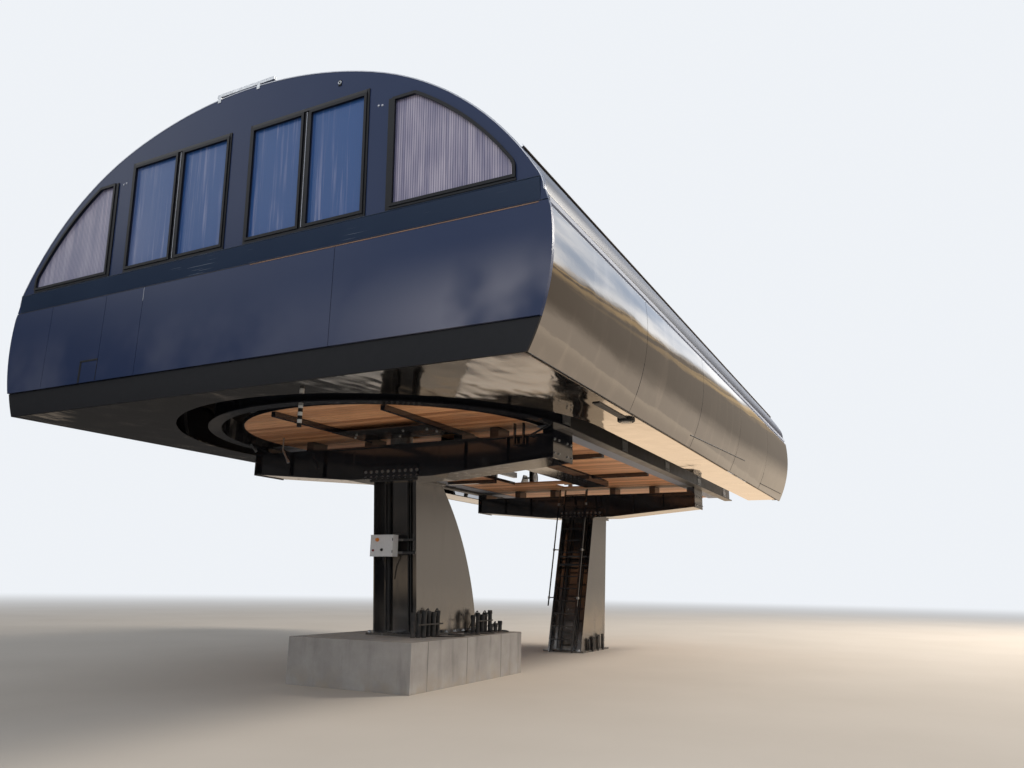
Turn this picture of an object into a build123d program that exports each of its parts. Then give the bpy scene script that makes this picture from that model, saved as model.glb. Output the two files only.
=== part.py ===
from build123d import *
from math import asin, cos, radians, sin, sqrt
import os

# Base terminal of a detachable chairlift, full size, in millimetres.
# X runs along the terminal with +X to the line side, Y across it, Z up from the floor.
# Lengths along X are first measured from the outer face of the glazed end wall, and every
# piece is moved back by MID_X when it is written, so that the origin is under the middle.

# Driving dimensions of the whole terminal
SHELL_LENGTH = 17000.0      # foot of the glazed end wall to the open line end
TRIM_PROUD = 30.0           # window frames stand out of the end wall by this
WINDOW_LEAN = 2.0           # the window panel leans outwards by this many degrees
MID_X = 8449.0              # middle of the whole length, with the leaning window frames
SKIN = 40.0                 # thickness of the shell's panels
WALL = 60.0                 # thickness of the glazed end wall
SIDE_STARTS = (0, 1, 2, 3, 4)   # frame bays at which a side panel starts
ROOF_STARTS = (0, 2)        # frame bays at which a longer roof sheet starts
BAY_COUNT = 5               # bays between the frames along the shell
PANEL_GAP = 10.0            # open joint between neighbouring panels

# Cross section of the shell, from the crown down to its lower edge
CROWN_Z = 8600.0
CROWN_R = 6940.0            # flat arc over the middle
CROWN_HALF = 2300.0         # half width of the flat arc
SHOULDER_R = 4580.0         # tighter arc of the shoulder
SHOULDER_FALL = 59.6        # slope in degrees at the shoulder's lower end
EAVE_R = 460.0              # tight arc from there to the upright edge over the gutter
GUTTER_FOOT = 5750.0
SIDE_R = 2760.0             # bulging lower side
SIDE_MID_Z = 5370.0         # height at which the side is widest
HALF_WIDTH = 4890.0
EDGE_Z = 4090.0             # lower edge of the shell

# Glazed end wall
SEAM_Z = 5840.0             # joint between the window frame panel and the lower panels
LOWER_Z = 4480.0            # joint between the lower panels and the black skirt
SILL_Z = 6220.0
HEAD_Z = 7865.0
CORNER_HEAD_Z = 7670.0
CORNER_SPAN = (2700.0, 4400.0)
WINDOW_INSET = 190.0        # curved edge of a corner window, in from the shell's outline
WINDOW_ROUND = 200.0        # rounding between that edge and the upright outer one
FRAME = 35.0                # face width of a window frame

# Structure under the shell
AXIS_X = 4300.0             # bullwheel axis, and centre of the rounded end of the deck
BEAM_HALF = 3130.0          # half length of a cross beam
BEAM_WEB = 620.0            # width of a cross beam between its flange lips
BEAM_WIDE = 760.0           # width of its flanges
FLANGE = 25.0               # thickness of a flange
BEAM_TOP = 3980.0
BEAM_MAST_Z = 3390.0        # underside of a cross beam over its mast
BEAM_END_Z = 3590.0         # underside of a cross beam at its ends
MAST_HALF = 450.0
FRONT_BEAM_X = 4330.0
REAR_BEAM_X = 13150.0
RAIL_IN = 3080.0            # carrier rail, from the centreline: a box with a running flange
RAIL_BOX = 3220.0
RAIL_OUT = 3290.0
RAIL_FOOT = 4100.0
RAIL_TOP = 4450.0
LANE_OUT = 3780.0           # outer edge of the carriers' lane
SOFFIT_Z = 4090.0
SOFFIT_TOP = 4110.0
DECK_HALF = 2720.0
DECK_FOOT = 4180.0
DECK_TOP = 4230.0
DECK_END = 16200.0

# Derived values of the section
CROWN_MID_Z = CROWN_Z - CROWN_R
SHOULDER_START = asin(CROWN_HALF / CROWN_R)
SHOULDER_Y = (CROWN_R - SHOULDER_R) * sin(SHOULDER_START)
SHOULDER_Z = CROWN_MID_Z + (CROWN_R - SHOULDER_R) * cos(SHOULDER_START)
SHOULDER_END = radians(SHOULDER_FALL)
EAVE_MID_Y = SHOULDER_Y + (SHOULDER_R - EAVE_R) * sin(SHOULDER_END)
EAVE_Y = EAVE_MID_Y + EAVE_R
GUTTER_TOP = SHOULDER_Z + (SHOULDER_R - EAVE_R) * cos(SHOULDER_END)
UPRIGHT = radians(90)
SIDE_Y = HALF_WIDTH - SIDE_R
SIDES = (("near", -1), ("far", 1))

os.makedirs("parts", exist_ok=True)


def write(name, *solids):
    """Write one node: its solids, moved so that the origin is under the middle."""
    moved = [Pos(-MID_X, 0, 0) * solid for item in solids for solid in item.solids()]
    shape = Compound(children=moved)
    shape.label = name
    export_step(shape, f"parts/{name}.step")


def block(x0, x1, y0, y1, z0, z1):
    """A box between two corners."""
    low = (min(x0, x1), min(y0, y1), min(z0, z1))
    size = (abs(x1 - x0), abs(y1 - y0), abs(z1 - z0))
    return Pos(*low) * Box(*size, align=(Align.MIN, Align.MIN, Align.MIN))


def across(face, x0, x1):
    """Extrude a face drawn in the cross section from x0 to x1."""
    return Pos(x0, 0, 0) * extrude(face, amount=x1 - x0, dir=(1, 0, 0))


def rod(start, end, radius):
    """A round bar between two points."""
    run = Vector(*end) - Vector(*start)
    upward = (Align.CENTER, Align.CENTER, Align.MIN)
    return Plane(origin=start, z_dir=run) * Cylinder(radius, run.length, align=upward)


def arc(mid_y, mid_z, radius, turn0, turn1):
    """An arc in the cross section. Turns are radians from straight up, positive to +Y."""
    turns = (turn0, (turn0 + turn1) / 2, turn1)
    points = [(0, mid_y + radius * sin(turn), mid_z + radius * cos(turn)) for turn in turns]
    return ThreePointArc(*points)


def side_turn(z, inset=0.0):
    """Turn on the bulging side at which it passes the height z."""
    return radians(90) - asin((z - SIDE_MID_Z) / (SIDE_R - inset))


def side_y(z, inset=0.0):
    """Distance of the bulging side from the centreline at the height z."""
    return SIDE_Y + sqrt((SIDE_R - inset) ** 2 - (z - SIDE_MID_Z) ** 2)


def shoulder_arcs(sign):
    """Arcs of one side of the roof, from the crown down: middle, radius and both turns."""
    return [
        (sign * SHOULDER_Y, SHOULDER_Z, SHOULDER_R, sign * SHOULDER_START, sign * SHOULDER_END),
        (sign * EAVE_MID_Y, GUTTER_TOP, EAVE_R, sign * SHOULDER_END, sign * UPRIGHT),
    ]


def section_edges(inset):
    """The shell's outline from its far lower edge over the crown to its near lower edge."""
    side = SIDE_R - inset
    top = side_turn(GUTTER_FOOT, inset)
    foot = side_turn(EDGE_Z, inset)
    far = [arc(y, z, radius - inset, t1, t0) for y, z, radius, t0, t1 in shoulder_arcs(1)[::-1]]
    near = [arc(y, z, radius - inset, t0, t1) for y, z, radius, t0, t1 in shoulder_arcs(-1)]
    roof = far + [arc(0, CROWN_MID_Z, CROWN_R - inset, SHOULDER_START, -SHOULDER_START)] + near
    first = arc(SIDE_Y, SIDE_MID_Z, side, foot, top)
    last = arc(-SIDE_Y, SIDE_MID_Z, side, -top, -foot)
    return [first, Line(first @ 1, roof[0] @ 0), *roof, Line(roof[-1] @ 1, last @ 0), last]


def section_face(inset=0.0):
    """The whole section inside the outline, as one face."""
    edges = section_edges(inset)
    edges.append(Line(edges[-1] @ 1, edges[0] @ 0))
    return make_face(edges)


def band(*arcs):
    """A strip of the section along arcs that follow on each other, SKIN thick to the inside."""
    outer = [arc(y, z, radius, t0, t1) for y, z, radius, t0, t1 in arcs]
    inner = [arc(y, z, radius - SKIN, t1, t0) for y, z, radius, t0, t1 in arcs[::-1]]
    ends = [Line(outer[-1] @ 1, inner[0] @ 0), Line(inner[-1] @ 1, outer[0] @ 0)]
    return make_face([*outer, ends[0], *inner, ends[1]])


def lean(shape):
    """Turn a shape outwards about the seam of the end wall, as the window panel stands."""
    return Pos(0, 0, SEAM_Z) * (Rot(0, -WINDOW_LEAN, 0) * (Pos(0, 0, -SEAM_Z) * shape))


def bays(starts):
    """Start and end of each panel along the shell, from the bays at which the panels start."""
    pitch = (SHELL_LENGTH - WALL) / BAY_COUNT
    for first, following in zip(starts, [*starts[1:], BAY_COUNT]):
        gap = PANEL_GAP if first else 0.0
        yield WALL + first * pitch + gap, WALL + following * pitch


def roof_sheets(face):
    """Sheets of the roof from their section. The first reaches forward to the leaning panel."""
    before = lean(block(-1500, WALL + 2, -6000, 6000, SEAM_Z - 100, 9500))
    spans = list(bays(ROOF_STARTS))
    first = across(face, -300, spans[0][1]) - before
    return [first] + [across(face, x0, x1) for x0, x1 in spans[1:]]


def shell():
    """Roof, side panels and gutters, in rows of separate panels."""
    crown = band((0, CROWN_MID_Z, CROWN_R, -SHOULDER_START, SHOULDER_START))
    write("roof_crown", *roof_sheets(crown))
    for side, sign in SIDES:
        write(f"roof_shoulder_{side}", *roof_sheets(band(*shoulder_arcs(sign))))
        turns = (sign * side_turn(GUTTER_FOOT), sign * side_turn(EDGE_Z))
        flank = band((sign * SIDE_Y, SIDE_MID_Z, SIDE_R, *turns))
        write(f"side_panels_{side}", *[across(flank, x0, x1) for x0, x1 in bays(SIDE_STARTS)])
    write("gutters", *[gutter(sign) for side, sign in SIDES])


def gutter_back():
    """Back of the gutter, from the side panels' top edge up to the shoulder's lower edge."""
    rest_y = EAVE_Y - SKIN
    return [
        (side_y(GUTTER_FOOT, SKIN), GUTTER_FOOT), (side_y(GUTTER_FOOT) - 124, GUTTER_FOOT + 8),
        (rest_y - 40, GUTTER_TOP - 30), (rest_y, GUTTER_TOP),
    ]


def gutter(sign):
    """A flashing between the shoulder and the side panels, with a recess above and below it."""
    top = side_y(GUTTER_FOOT)
    outline = [
        (EAVE_Y, GUTTER_TOP), (EAVE_Y, GUTTER_TOP - 24), (EAVE_Y - 50, GUTTER_TOP - 30),
        (EAVE_Y - 50, GUTTER_TOP - 56), (EAVE_Y + 30, GUTTER_TOP - 66), (top - 26, GUTTER_FOOT + 82),
        (top - 96, GUTTER_FOOT + 66), (top - 96, GUTTER_FOOT + 30), (top - 4, GUTTER_FOOT + 16),
        (top, GUTTER_FOOT), *gutter_back(),
    ]
    face = make_face(Polyline(*[(0, sign * y, z) for y, z in outline], close=True))
    return across(face, WALL, SHELL_LENGTH)


def slab(face, z0, z1):
    """Extrude a face drawn in plan from z0 to z1."""
    return Pos(0, 0, z0) * extrude(face, amount=z1 - z0, dir=(0, 0, 1))


def half_round(disc, reach):
    """The half of a round plan on the side of the glazed wall, about the bullwheel axis."""
    return Pos(AXIS_X, 0) * (disc & (Pos(-reach, 0) * Rectangle(2 * reach, 2 * reach)))


def corner_pane(sign, grow, x0, x1):
    """A corner pane between x0 and x1, grown on all sides."""
    inner = sign * (CORNER_SPAN[0] - grow)
    outer = sign * (CORNER_SPAN[1] + grow)
    body = across(section_face(WINDOW_INSET - grow), x0, x1)
    body &= block(x0, x1, inner, outer, SILL_Z - grow, CORNER_HEAD_Z + grow)
    along = [edge for edge in body.edges().filter_by(Axis.X) if abs(edge.center().Y - outer) < 1]
    return fillet(max(along, key=lambda edge: edge.center().Z), WINDOW_ROUND + grow)


def middle_pane(sign, span, grow, x0, x1):
    """A rectangular pane between x0 and x1, grown on all sides."""
    y0 = sign * (span[0] - grow)
    y1 = sign * (span[1] + grow)
    return block(x0, x1, y0, y1, SILL_Z - grow, HEAD_Z + grow)


MIDDLE_SPANS = ((255.0, 1145.0), (1310.0, 2215.0))


def panes(grow, x0, x1):
    """All six panes, middle ones first."""
    middle = [middle_pane(sign, span, grow, x0, x1) for sign in (1, -1) for span in MIDDLE_SPANS]
    return middle, [corner_pane(sign, grow, x0, x1) for sign in (1, -1)]


def end_wall():
    """Glazed end wall: window panel, lower panels, skirt, panes and their frames."""
    plate = across(section_face(), 0, WALL)
    upper = plate & block(0, WALL, -6000, 6000, SEAM_Z + 6, 9000)
    middle, corner = panes(0, 0, WALL)
    for hole in middle + corner:
        upper -= hole
    write("end_window_panel", lean(upper))
    lower = plate & block(0, WALL, -6000, 6000, LOWER_Z, SEAM_Z - 6)
    for seam in (3900.0, 2600.0, 1760.0, -1820.0):
        lower -= block(-10, WALL + 10, seam - 4, seam + 4, LOWER_Z - 10, SEAM_Z)
    write("end_lower_panels", lower)
    write("end_skirt", plate & block(25, WALL, -6000, 6000, EDGE_Z, LOWER_Z - 8))
    glass_mid, glass_corner = panes(0, 20, 45)
    write("panes_middle", *[lean(pane) for pane in glass_mid])
    write("panes_corner", *[lean(pane) for pane in glass_corner])
    outer = panes(FRAME, -TRIM_PROUD, 0)
    holes = panes(-6, -TRIM_PROUD - 5, 5)
    frames = [lean(a - b) for a, b in zip(outer[0] + outer[1], holes[0] + holes[1])]
    write("window_frames", *frames)
    write("edge_rail", edge_rail())


RAIL_CLAMP_YS = (515.0, -255.0)     # clamps that hold the rail on the end wall's upper edge
EDGE_RAIL_YS = (-545.0, 575.0)
EDGE_RAIL_Z = (8622.0, 8672.0)


def edge_rail():
    """A short rail over the crown's front edge, on two clamps that hook over the window panel."""
    foot, top = EDGE_RAIL_Z
    rail = block(-90, -50, *EDGE_RAIL_YS, foot, top) - block(-82, -58, *EDGE_RAIL_YS, foot + 8, top + 1)
    for y in RAIL_CLAMP_YS:
        edge = CROWN_MID_Z + sqrt(CROWN_R ** 2 - (abs(y) - 30) ** 2) + 1
        rail += block(-101, -34, y - 30, y + 30, edge, foot + 8)
        rail += block(-101, -96.5, y - 30, y + 30, edge - 62, edge)
        rail += block(-76, -64, y - 22, y + 22, foot, top + 12)
    return rail


def line_end():
    """The end towards the line: closed above the gutters, open below for carriers and rope."""
    plate = across(section_face(SKIN), SHELL_LENGTH - 70, SHELL_LENGTH - 30)
    write("line_end_panel", plate & block(0, SHELL_LENGTH, -6000, 6000, GUTTER_TOP + 60, 9000))


FRAME_XS = (230.0, 3448.0, 6836.0, 10224.0, 13612.0, 16800.0)
FRAME_LONG = 80.0           # length of a frame's members along X
FRAME_DEEP = 120.0
HAUNCH_DEEP = 240.0         # depth of an arch at its gutter corners
GUTTER_CORNER = 5           # place of the shoulder's lower end among an arch's corners
HAUNCHES = (GUTTER_CORNER - 1, GUTTER_CORNER)
SIDE_MEMBER = 290.0         # half height of an arch's upright member
TIE_FOOT = 5400.0
TIE_TOP = 5500.0
SIDE_MEMBER_UP = SIDE_MID_Z + SIDE_MEMBER - TIE_TOP
PURLIN_FOOT = 5320.0
POST_MID = 3150.0
POST_XS = (AXIS_X, 6836.0, 10224.0, 13612.0, 16250.0)


def arch_side(inset):
    """Corners of an arch's far half, from its foot to the crown, at an inset from the outline."""
    heights = (SOFFIT_TOP, 4600.0, SIDE_MID_Z - SIDE_MEMBER, SIDE_MID_Z + SIDE_MEMBER, GUTTER_FOOT)
    corners = [(side_y(z, inset), z) for z in heights]
    step = (SHOULDER_END - SHOULDER_START) / 3
    arcs = [(EAVE_MID_Y, GUTTER_TOP, EAVE_R, UPRIGHT)]
    arcs += [(SHOULDER_Y, SHOULDER_Z, SHOULDER_R, SHOULDER_END - number * step) for number in range(4)]
    arcs += [(0, CROWN_MID_Z, CROWN_R, SHOULDER_START / 2), (0, CROWN_MID_Z, CROWN_R, 0)]
    for mid_y, mid_z, radius, turn in arcs:
        corners.append((mid_y + (radius - inset) * sin(turn), mid_z + (radius - inset) * cos(turn)))
    return corners


def frames():
    """Steel frames that carry the shell: mitred arches, ties, purlins and posts on the rails."""
    half = FRAME_LONG / 2
    outer = arch_side(SKIN)
    inner = arch_side(SKIN + FRAME_DEEP)
    for corner in HAUNCHES:
        inner[corner] = arch_side(SKIN + HAUNCH_DEEP)[corner]
    outer[GUTTER_CORNER:GUTTER_CORNER] = gutter_back()[1:3]
    outline = [(-y, z) for y, z in outer] + outer[-2::-1] + inner[:-1] + [(-y, z) for y, z in inner[::-1]]
    arch = make_face(Polyline(*[(0, y, z) for y, z in outline], close=True))
    write("shell_arches", *[across(arch, x - half, x + half) for x in FRAME_XS])
    tie_y = side_y(TIE_TOP + SIDE_MEMBER_UP, SKIN + FRAME_DEEP)
    write("roof_grid", *[block(x - half, x + half, -tie_y, tie_y, TIE_FOOT, TIE_TOP) for x in FRAME_XS])
    purlins = []
    posts = []
    for side, sign in SIDES:
        y0 = sign * (POST_MID - 40)
        y1 = sign * (POST_MID + 40)
        purlins.append(block(FRAME_XS[0] - half, FRAME_XS[-1] + half, y0, y1, PURLIN_FOOT, TIE_FOOT))
        posts += [block(x - 50, x + 50, y0, y1, RAIL_TOP, PURLIN_FOOT) for x in POST_XS]
    write("purlins", *purlins)
    write("frame_posts", *posts)


RAIL_LIP = 25.0             # thickness of the running flange
TURN_CHORDS = 120           # chords in a full round of the rail, which is bent step by step


def rail_section(sign):
    """Section of the carrier rail: a box with a running flange for the carriers' rollers."""
    points = [
        (RAIL_IN, RAIL_FOOT), (RAIL_OUT, RAIL_FOOT), (RAIL_OUT, RAIL_FOOT + RAIL_LIP),
        (RAIL_BOX, RAIL_FOOT + RAIL_LIP), (RAIL_BOX, RAIL_TOP), (RAIL_IN, RAIL_TOP),
    ]
    return make_face(Polyline(*[(0, sign * y, z) for y, z in points], close=True))


def rails():
    """Carrier rails: one straight length a side, joined by a half turn round the bullwheel."""
    lengths = [across(rail_section(sign), AXIS_X, SHELL_LENGTH - 400) for side, sign in SIDES]
    write("rails_straight", *lengths)
    inner = RegularPolygon(RAIL_IN, TURN_CHORDS)
    box = half_round(RegularPolygon(RAIL_BOX, TURN_CHORDS) - inner, RAIL_OUT)
    flange = half_round(RegularPolygon(RAIL_OUT, TURN_CHORDS) - inner, RAIL_OUT)
    write("rail_turn", slab(box, RAIL_FOOT, RAIL_TOP) + slab(flange, RAIL_FOOT, RAIL_FOOT + RAIL_LIP))


def cross_beam(x, mast_y):
    """A box beam, deeper over its mast, with flanges, stiffeners and end plates for the rails."""
    web = BEAM_WEB / 2
    lip = BEAM_WIDE / 2
    knee = mast_y + 450.0
    under = [(-BEAM_HALF, BEAM_END_Z), (-knee, BEAM_MAST_Z), (knee, BEAM_MAST_Z), (BEAM_HALF, BEAM_END_Z)]
    raised = [(y, z + FLANGE) for y, z in under]
    body = under + [(BEAM_HALF, BEAM_TOP), (-BEAM_HALF, BEAM_TOP)]
    beam = across(make_face(Polyline(*[(0, y, z) for y, z in body], close=True)), x - web, x + web)
    strip = make_face(Polyline(*[(0, y, z) for y, z in under + raised[::-1]], close=True))
    beam += across(strip, x - lip, x + lip)
    beam += block(x - lip, x + lip, -BEAM_HALF, BEAM_HALF, BEAM_TOP - FLANGE, BEAM_TOP)
    for side, sign in SIDES:
        for y in STIFFENER_YS:
            foot = BEAM_MAST_Z + max(0.0, y - knee) * (BEAM_END_Z - BEAM_MAST_Z) / (BEAM_HALF - knee)
            ends = (sign * (y - 10), sign * (y + 10))
            beam += block(x - lip + 12, x + lip - 12, *ends, foot + 10, BEAM_TOP - 10)
        beam += block(x - web, x + web, sign * (BEAM_HALF - 200), sign * BEAM_HALF, BEAM_TOP, RAIL_FOOT)
        ear = sign * (BEAM_HALF + 22)
        beam += block(x - lip - 15, x + lip + 15, sign * BEAM_HALF, ear, BEAM_END_Z - 15, RAIL_FOOT)
    for face_x in (x - web - 25, x + web):
        beam += block(face_x, face_x + 25, -SPLICE_HALF, SPLICE_HALF, BEAM_MAST_Z + FLANGE, SPLICE_TOP)
    return beam


def mast(front, back, base_z, belly, strap_xs):
    """A tapered box mast of plates: front and back give X at the base and at the head.

    The side plates run past the front plate, which leaves a deep recess for cables. With
    belly set, the back edge is an arc that stands out of the straight line by that much.
    The flat bars across the recess have their faces at strap_xs.
    """
    plate = 40.0
    foot = base_z + plate
    head = BEAM_MAST_Z - plate

    def back_line(inset):
        ends = [(back[0] - inset, 0, foot), (back[1] - inset, 0, head)]
        if not belly:
            return Line(*ends)
        middle = ((back[0] + back[1]) / 2 + belly - inset, 0, (foot + head) / 2)
        return ThreePointArc(ends[0], middle, ends[1])

    def profile(front_inset, back_inset):
        rear = back_line(back_inset)
        low = (front[0] + front_inset, 0, foot)
        high = (front[1] + front_inset, 0, head)
        return make_face([Line(low, rear @ 0), rear, Line(rear @ 1, high), Line(high, low)])

    side = 25.0
    body = None
    for sign in (-1, 1):
        wing = extrude(profile(0, 0), amount=side, dir=(0, -sign, 0))
        wing = Pos(0, sign * MAST_HALF, 0) * wing
        body = wing if body is None else body + wing
    width = 2 * (MAST_HALF - side)
    core = profile(RECESS, BACK_RECESS) - profile(RECESS + side, BACK_RECESS + side)
    core = Pos(0, MAST_HALF - side, 0) * extrude(core, amount=width, dir=(0, -1, 0))
    body += core
    rim = 90.0
    body += block(front[0] - rim, back[0] + rim, -MAST_HALF - rim, MAST_HALF + rim, base_z, foot)
    body += block(front[1] - 40, back[1] + 40, -MAST_HALF - 60, MAST_HALF + 60, head, BEAM_MAST_Z)
    for x, z in zip(strap_xs, STRAP_ZS):
        body += block(x, x + 36, -MAST_HALF + 5, MAST_HALF - 5, z - 20, z + 20)
    return body


PEDESTAL_TOP = 740.0
ANCHOR_HALF = 400.0
ANCHOR_HOLE_R = 21.0
ANCHOR_XS = (11655.0, 13375.0)
RECESS = 150.0              # depth of the cable recess in the front of a mast
BACK_RECESS = 30.0
STRAP_ZS = (2120.0, 2340.0)     # flat bars across the recess, which carry the control box
CONTROL_X = 4222.0          # back of the control box on those bars
STIFFENER_YS = (1500.0, 2300.0)
SPLICE_HALF = 560.0         # bolted splice plate over each mast
SPLICE_TOP = 3620.0


def supports():
    """Concrete pedestal, both masts and both cross beams."""
    write("pedestal", block(3100, 6840, -1200, 1200, 0, PEDESTAL_TOP))
    straps = (CONTROL_X, CONTROL_X)
    write("mast_front", mast((4360.0, 4140.0), (6400.0, 5000.0), PEDESTAL_TOP, 270.0, straps))
    rear = mast((11700.0, 12600.0), (13330.0, 13590.0), 0, 0, (12258.0, 12318.0))
    for x in ANCHOR_XS:
        for y in (-ANCHOR_HALF, ANCHOR_HALF):
            rear -= Pos(x, y, 20) * Cylinder(ANCHOR_HOLE_R, 80)
    write("mast_rear", rear)
    write("beam_front", cross_beam(FRONT_BEAM_X, MAST_HALF))
    write("beam_rear", cross_beam(REAR_BEAM_X, MAST_HALF))


WELL_HALF = 1300.0          # open well in the middle of the deck
WELL_X = (5100.0, 11400.0)
HATCH_X = (11800.0, 12650.0)
HATCH_HALF = 400.0
HINGE_X = HATCH_X[1] + 60    # hinge line of the hatch lid, which stands open
HINGE_Z = DECK_TOP + 24
LID_LEAN = 10.0             # the open lid leans back onto its stop by this many degrees
RIB_FOOT = 4100.0
RIB_YS = (620.0, -1280.0)   # ribs under the rounded end
CROSS_RIB_XS = (7400.0, 10350.0)
TRAY = (-1260.0, -640.0, 4040.0)    # cable tray along the well: both edges and its underside
HINGE_YS = (-250.0, 250.0)
HINGE_PIN_R = 9.0


def deck():
    """Walkway deck with a rounded end and an open well, and the hatch over the ladder."""
    hatch = block(HATCH_X[0], HATCH_X[1], -HATCH_HALF, HATCH_HALF, 4000, 4300)
    front = slab(half_round(Circle(DECK_HALF), DECK_HALF), DECK_FOOT, DECK_TOP)
    shaft = block(AXIS_X - 260, AXIS_X + 260, -260, 260, 4000, 4400)
    write("deck_front", front - shaft)
    strips = []
    for side, sign in SIDES:
        strip = block(AXIS_X + 4, WELL_X[1], sign * 2, sign * DECK_HALF, DECK_FOOT, DECK_TOP)
        well = block(WELL_X[0], WELL_X[1] + 10, 0, sign * WELL_HALF, 4000, 4300)
        strips.append(strip - well - shaft)
    write("deck_sides", *strips)
    rear = block(WELL_X[1] + 4, DECK_END, -DECK_HALF, DECK_HALF, DECK_FOOT, DECK_TOP) - hatch
    for y in HINGE_YS:
        rear += block(HINGE_X - 24, HINGE_X + 24, y - 60, y - 40, DECK_TOP, HINGE_Z + 16)
        rear += block(HINGE_X - 24, HINGE_X + 24, y + 40, y + 60, DECK_TOP, HINGE_Z + 16)
        rear += rod((HINGE_X, y - 60, HINGE_Z), (HINGE_X, y + 60, HINGE_Z), HINGE_PIN_R)
    write("deck_rear", rear)
    write("deck_ribs", *deck_frame())
    write("hatch_lid", lid())


def deck_frame():
    """Steel under the deck: the front ribs with their bolting plate, cross ribs, tray and pads."""
    front_end = FRONT_BEAM_X - BEAM_WIDE / 2
    frame = block(front_end - 850, front_end, RIB_YS[1], RIB_YS[0], RIB_FOOT - 16, RIB_FOOT)
    for y in RIB_YS:
        reach = sqrt(DECK_HALF ** 2 - y ** 2)
        frame += block(AXIS_X - reach + 40, FRONT_BEAM_X + 300, y - 40, y + 40, RIB_FOOT, DECK_FOOT)
        frame += block(FRONT_BEAM_X - 200, FRONT_BEAM_X + 200, y - 80, y + 80, BEAM_TOP, RIB_FOOT)
    pieces = [frame]
    inner, outer, foot = TRAY
    floor = block(4600, WELL_X[1] + 200, inner, outer, foot, foot + 12)
    for y in (inner, outer - 12):
        floor += block(4600, WELL_X[1] + 200, y, y + 12, foot, DECK_FOOT)
    floor += block(4600, 4700, inner + 60, outer - 60, BEAM_TOP, foot)
    pieces.append(floor)
    for side, sign in SIDES:
        pieces += [
            block(x - 60, x + 60, sign * (WELL_HALF + 10), sign * (DECK_HALF - 30), RIB_FOOT, DECK_FOOT)
            for x in CROSS_RIB_XS
        ]
        ends = (sign * 1900, sign * 2060)
        pieces.append(block(FRONT_BEAM_X - 200, FRONT_BEAM_X + 200, *ends, BEAM_TOP, DECK_FOOT))
        for y in (800.0, 1900.0):
            ends = (sign * y, sign * (y + 160))
            pieces.append(block(REAR_BEAM_X - 200, REAR_BEAM_X + 200, *ends, BEAM_TOP, DECK_FOOT))
    return pieces


def lid():
    """Hatch lid with its two knuckles, open and leaning back on its stop."""
    long = HATCH_X[1] - HATCH_X[0] + 30
    half = HATCH_HALF + 30
    leaf = block(-15, 15, -half, half, 30, 30 + long)
    for y in HINGE_YS:
        leaf += block(-8, 8, y - 34, y + 34, 0, 32)
        leaf += Pos(0, y, 0) * (Rot(90, 0, 0) * Cylinder(18, 68))
        leaf -= Pos(0, y, 0) * (Rot(90, 0, 0) * Cylinder(HINGE_PIN_R + 0.05, 70))
    return Pos(HINGE_X, 0, HINGE_Z) * (Rot(0, LID_LEAN, 0) * leaf)


def soffits():
    """Glossy panels under the shell's rim, and the narrow ones between deck and rail."""
    outer_y = side_y(SOFFIT_TOP, SKIN) - 12
    corners = ((WALL, -outer_y), (AXIS_X, -outer_y), (AXIS_X, outer_y), (WALL, outer_y))
    front = make_face(Polyline(*corners, close=True))
    front -= Pos(AXIS_X, 0) * Circle(LANE_OUT)
    write("soffit_front", slab(front, SOFFIT_Z, SOFFIT_TOP))
    panels = []
    strips = []
    for side, sign in SIDES:
        for x0, x1 in ((AXIS_X + 6, 8300.0), (8306.0, 12400.0), (12406.0, 16500.0)):
            panels.append(block(x0, x1, sign * LANE_OUT, sign * outer_y, SOFFIT_Z, SOFFIT_TOP))
        ends = (sign * (DECK_HALF - 30), sign * RAIL_IN)
        strips.append(block(AXIS_X + 4, DECK_END, *ends, DECK_FOOT - 20, DECK_FOOT))
    write("soffit_sides", *panels)
    write("inner_soffits", *strips)


BULLWHEEL_R = 2850.0
BULLWHEEL_Z = 4700.0
SPOKES = 10
RIM_CHORDS = 100            # chords of the rim, which is rolled from segments
RIM_IN = 2620.0             # distance of the rim's inner flats from the axis
RIM_HALF = 85.0
GROOVE_DEEP = 75.0
GROOVE_HALF = 30.0
SPOKE_HALF = 55.0
HUB_R = 420.0
HUB_HALF = 125.0
SHAFT_R = 200.0


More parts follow.
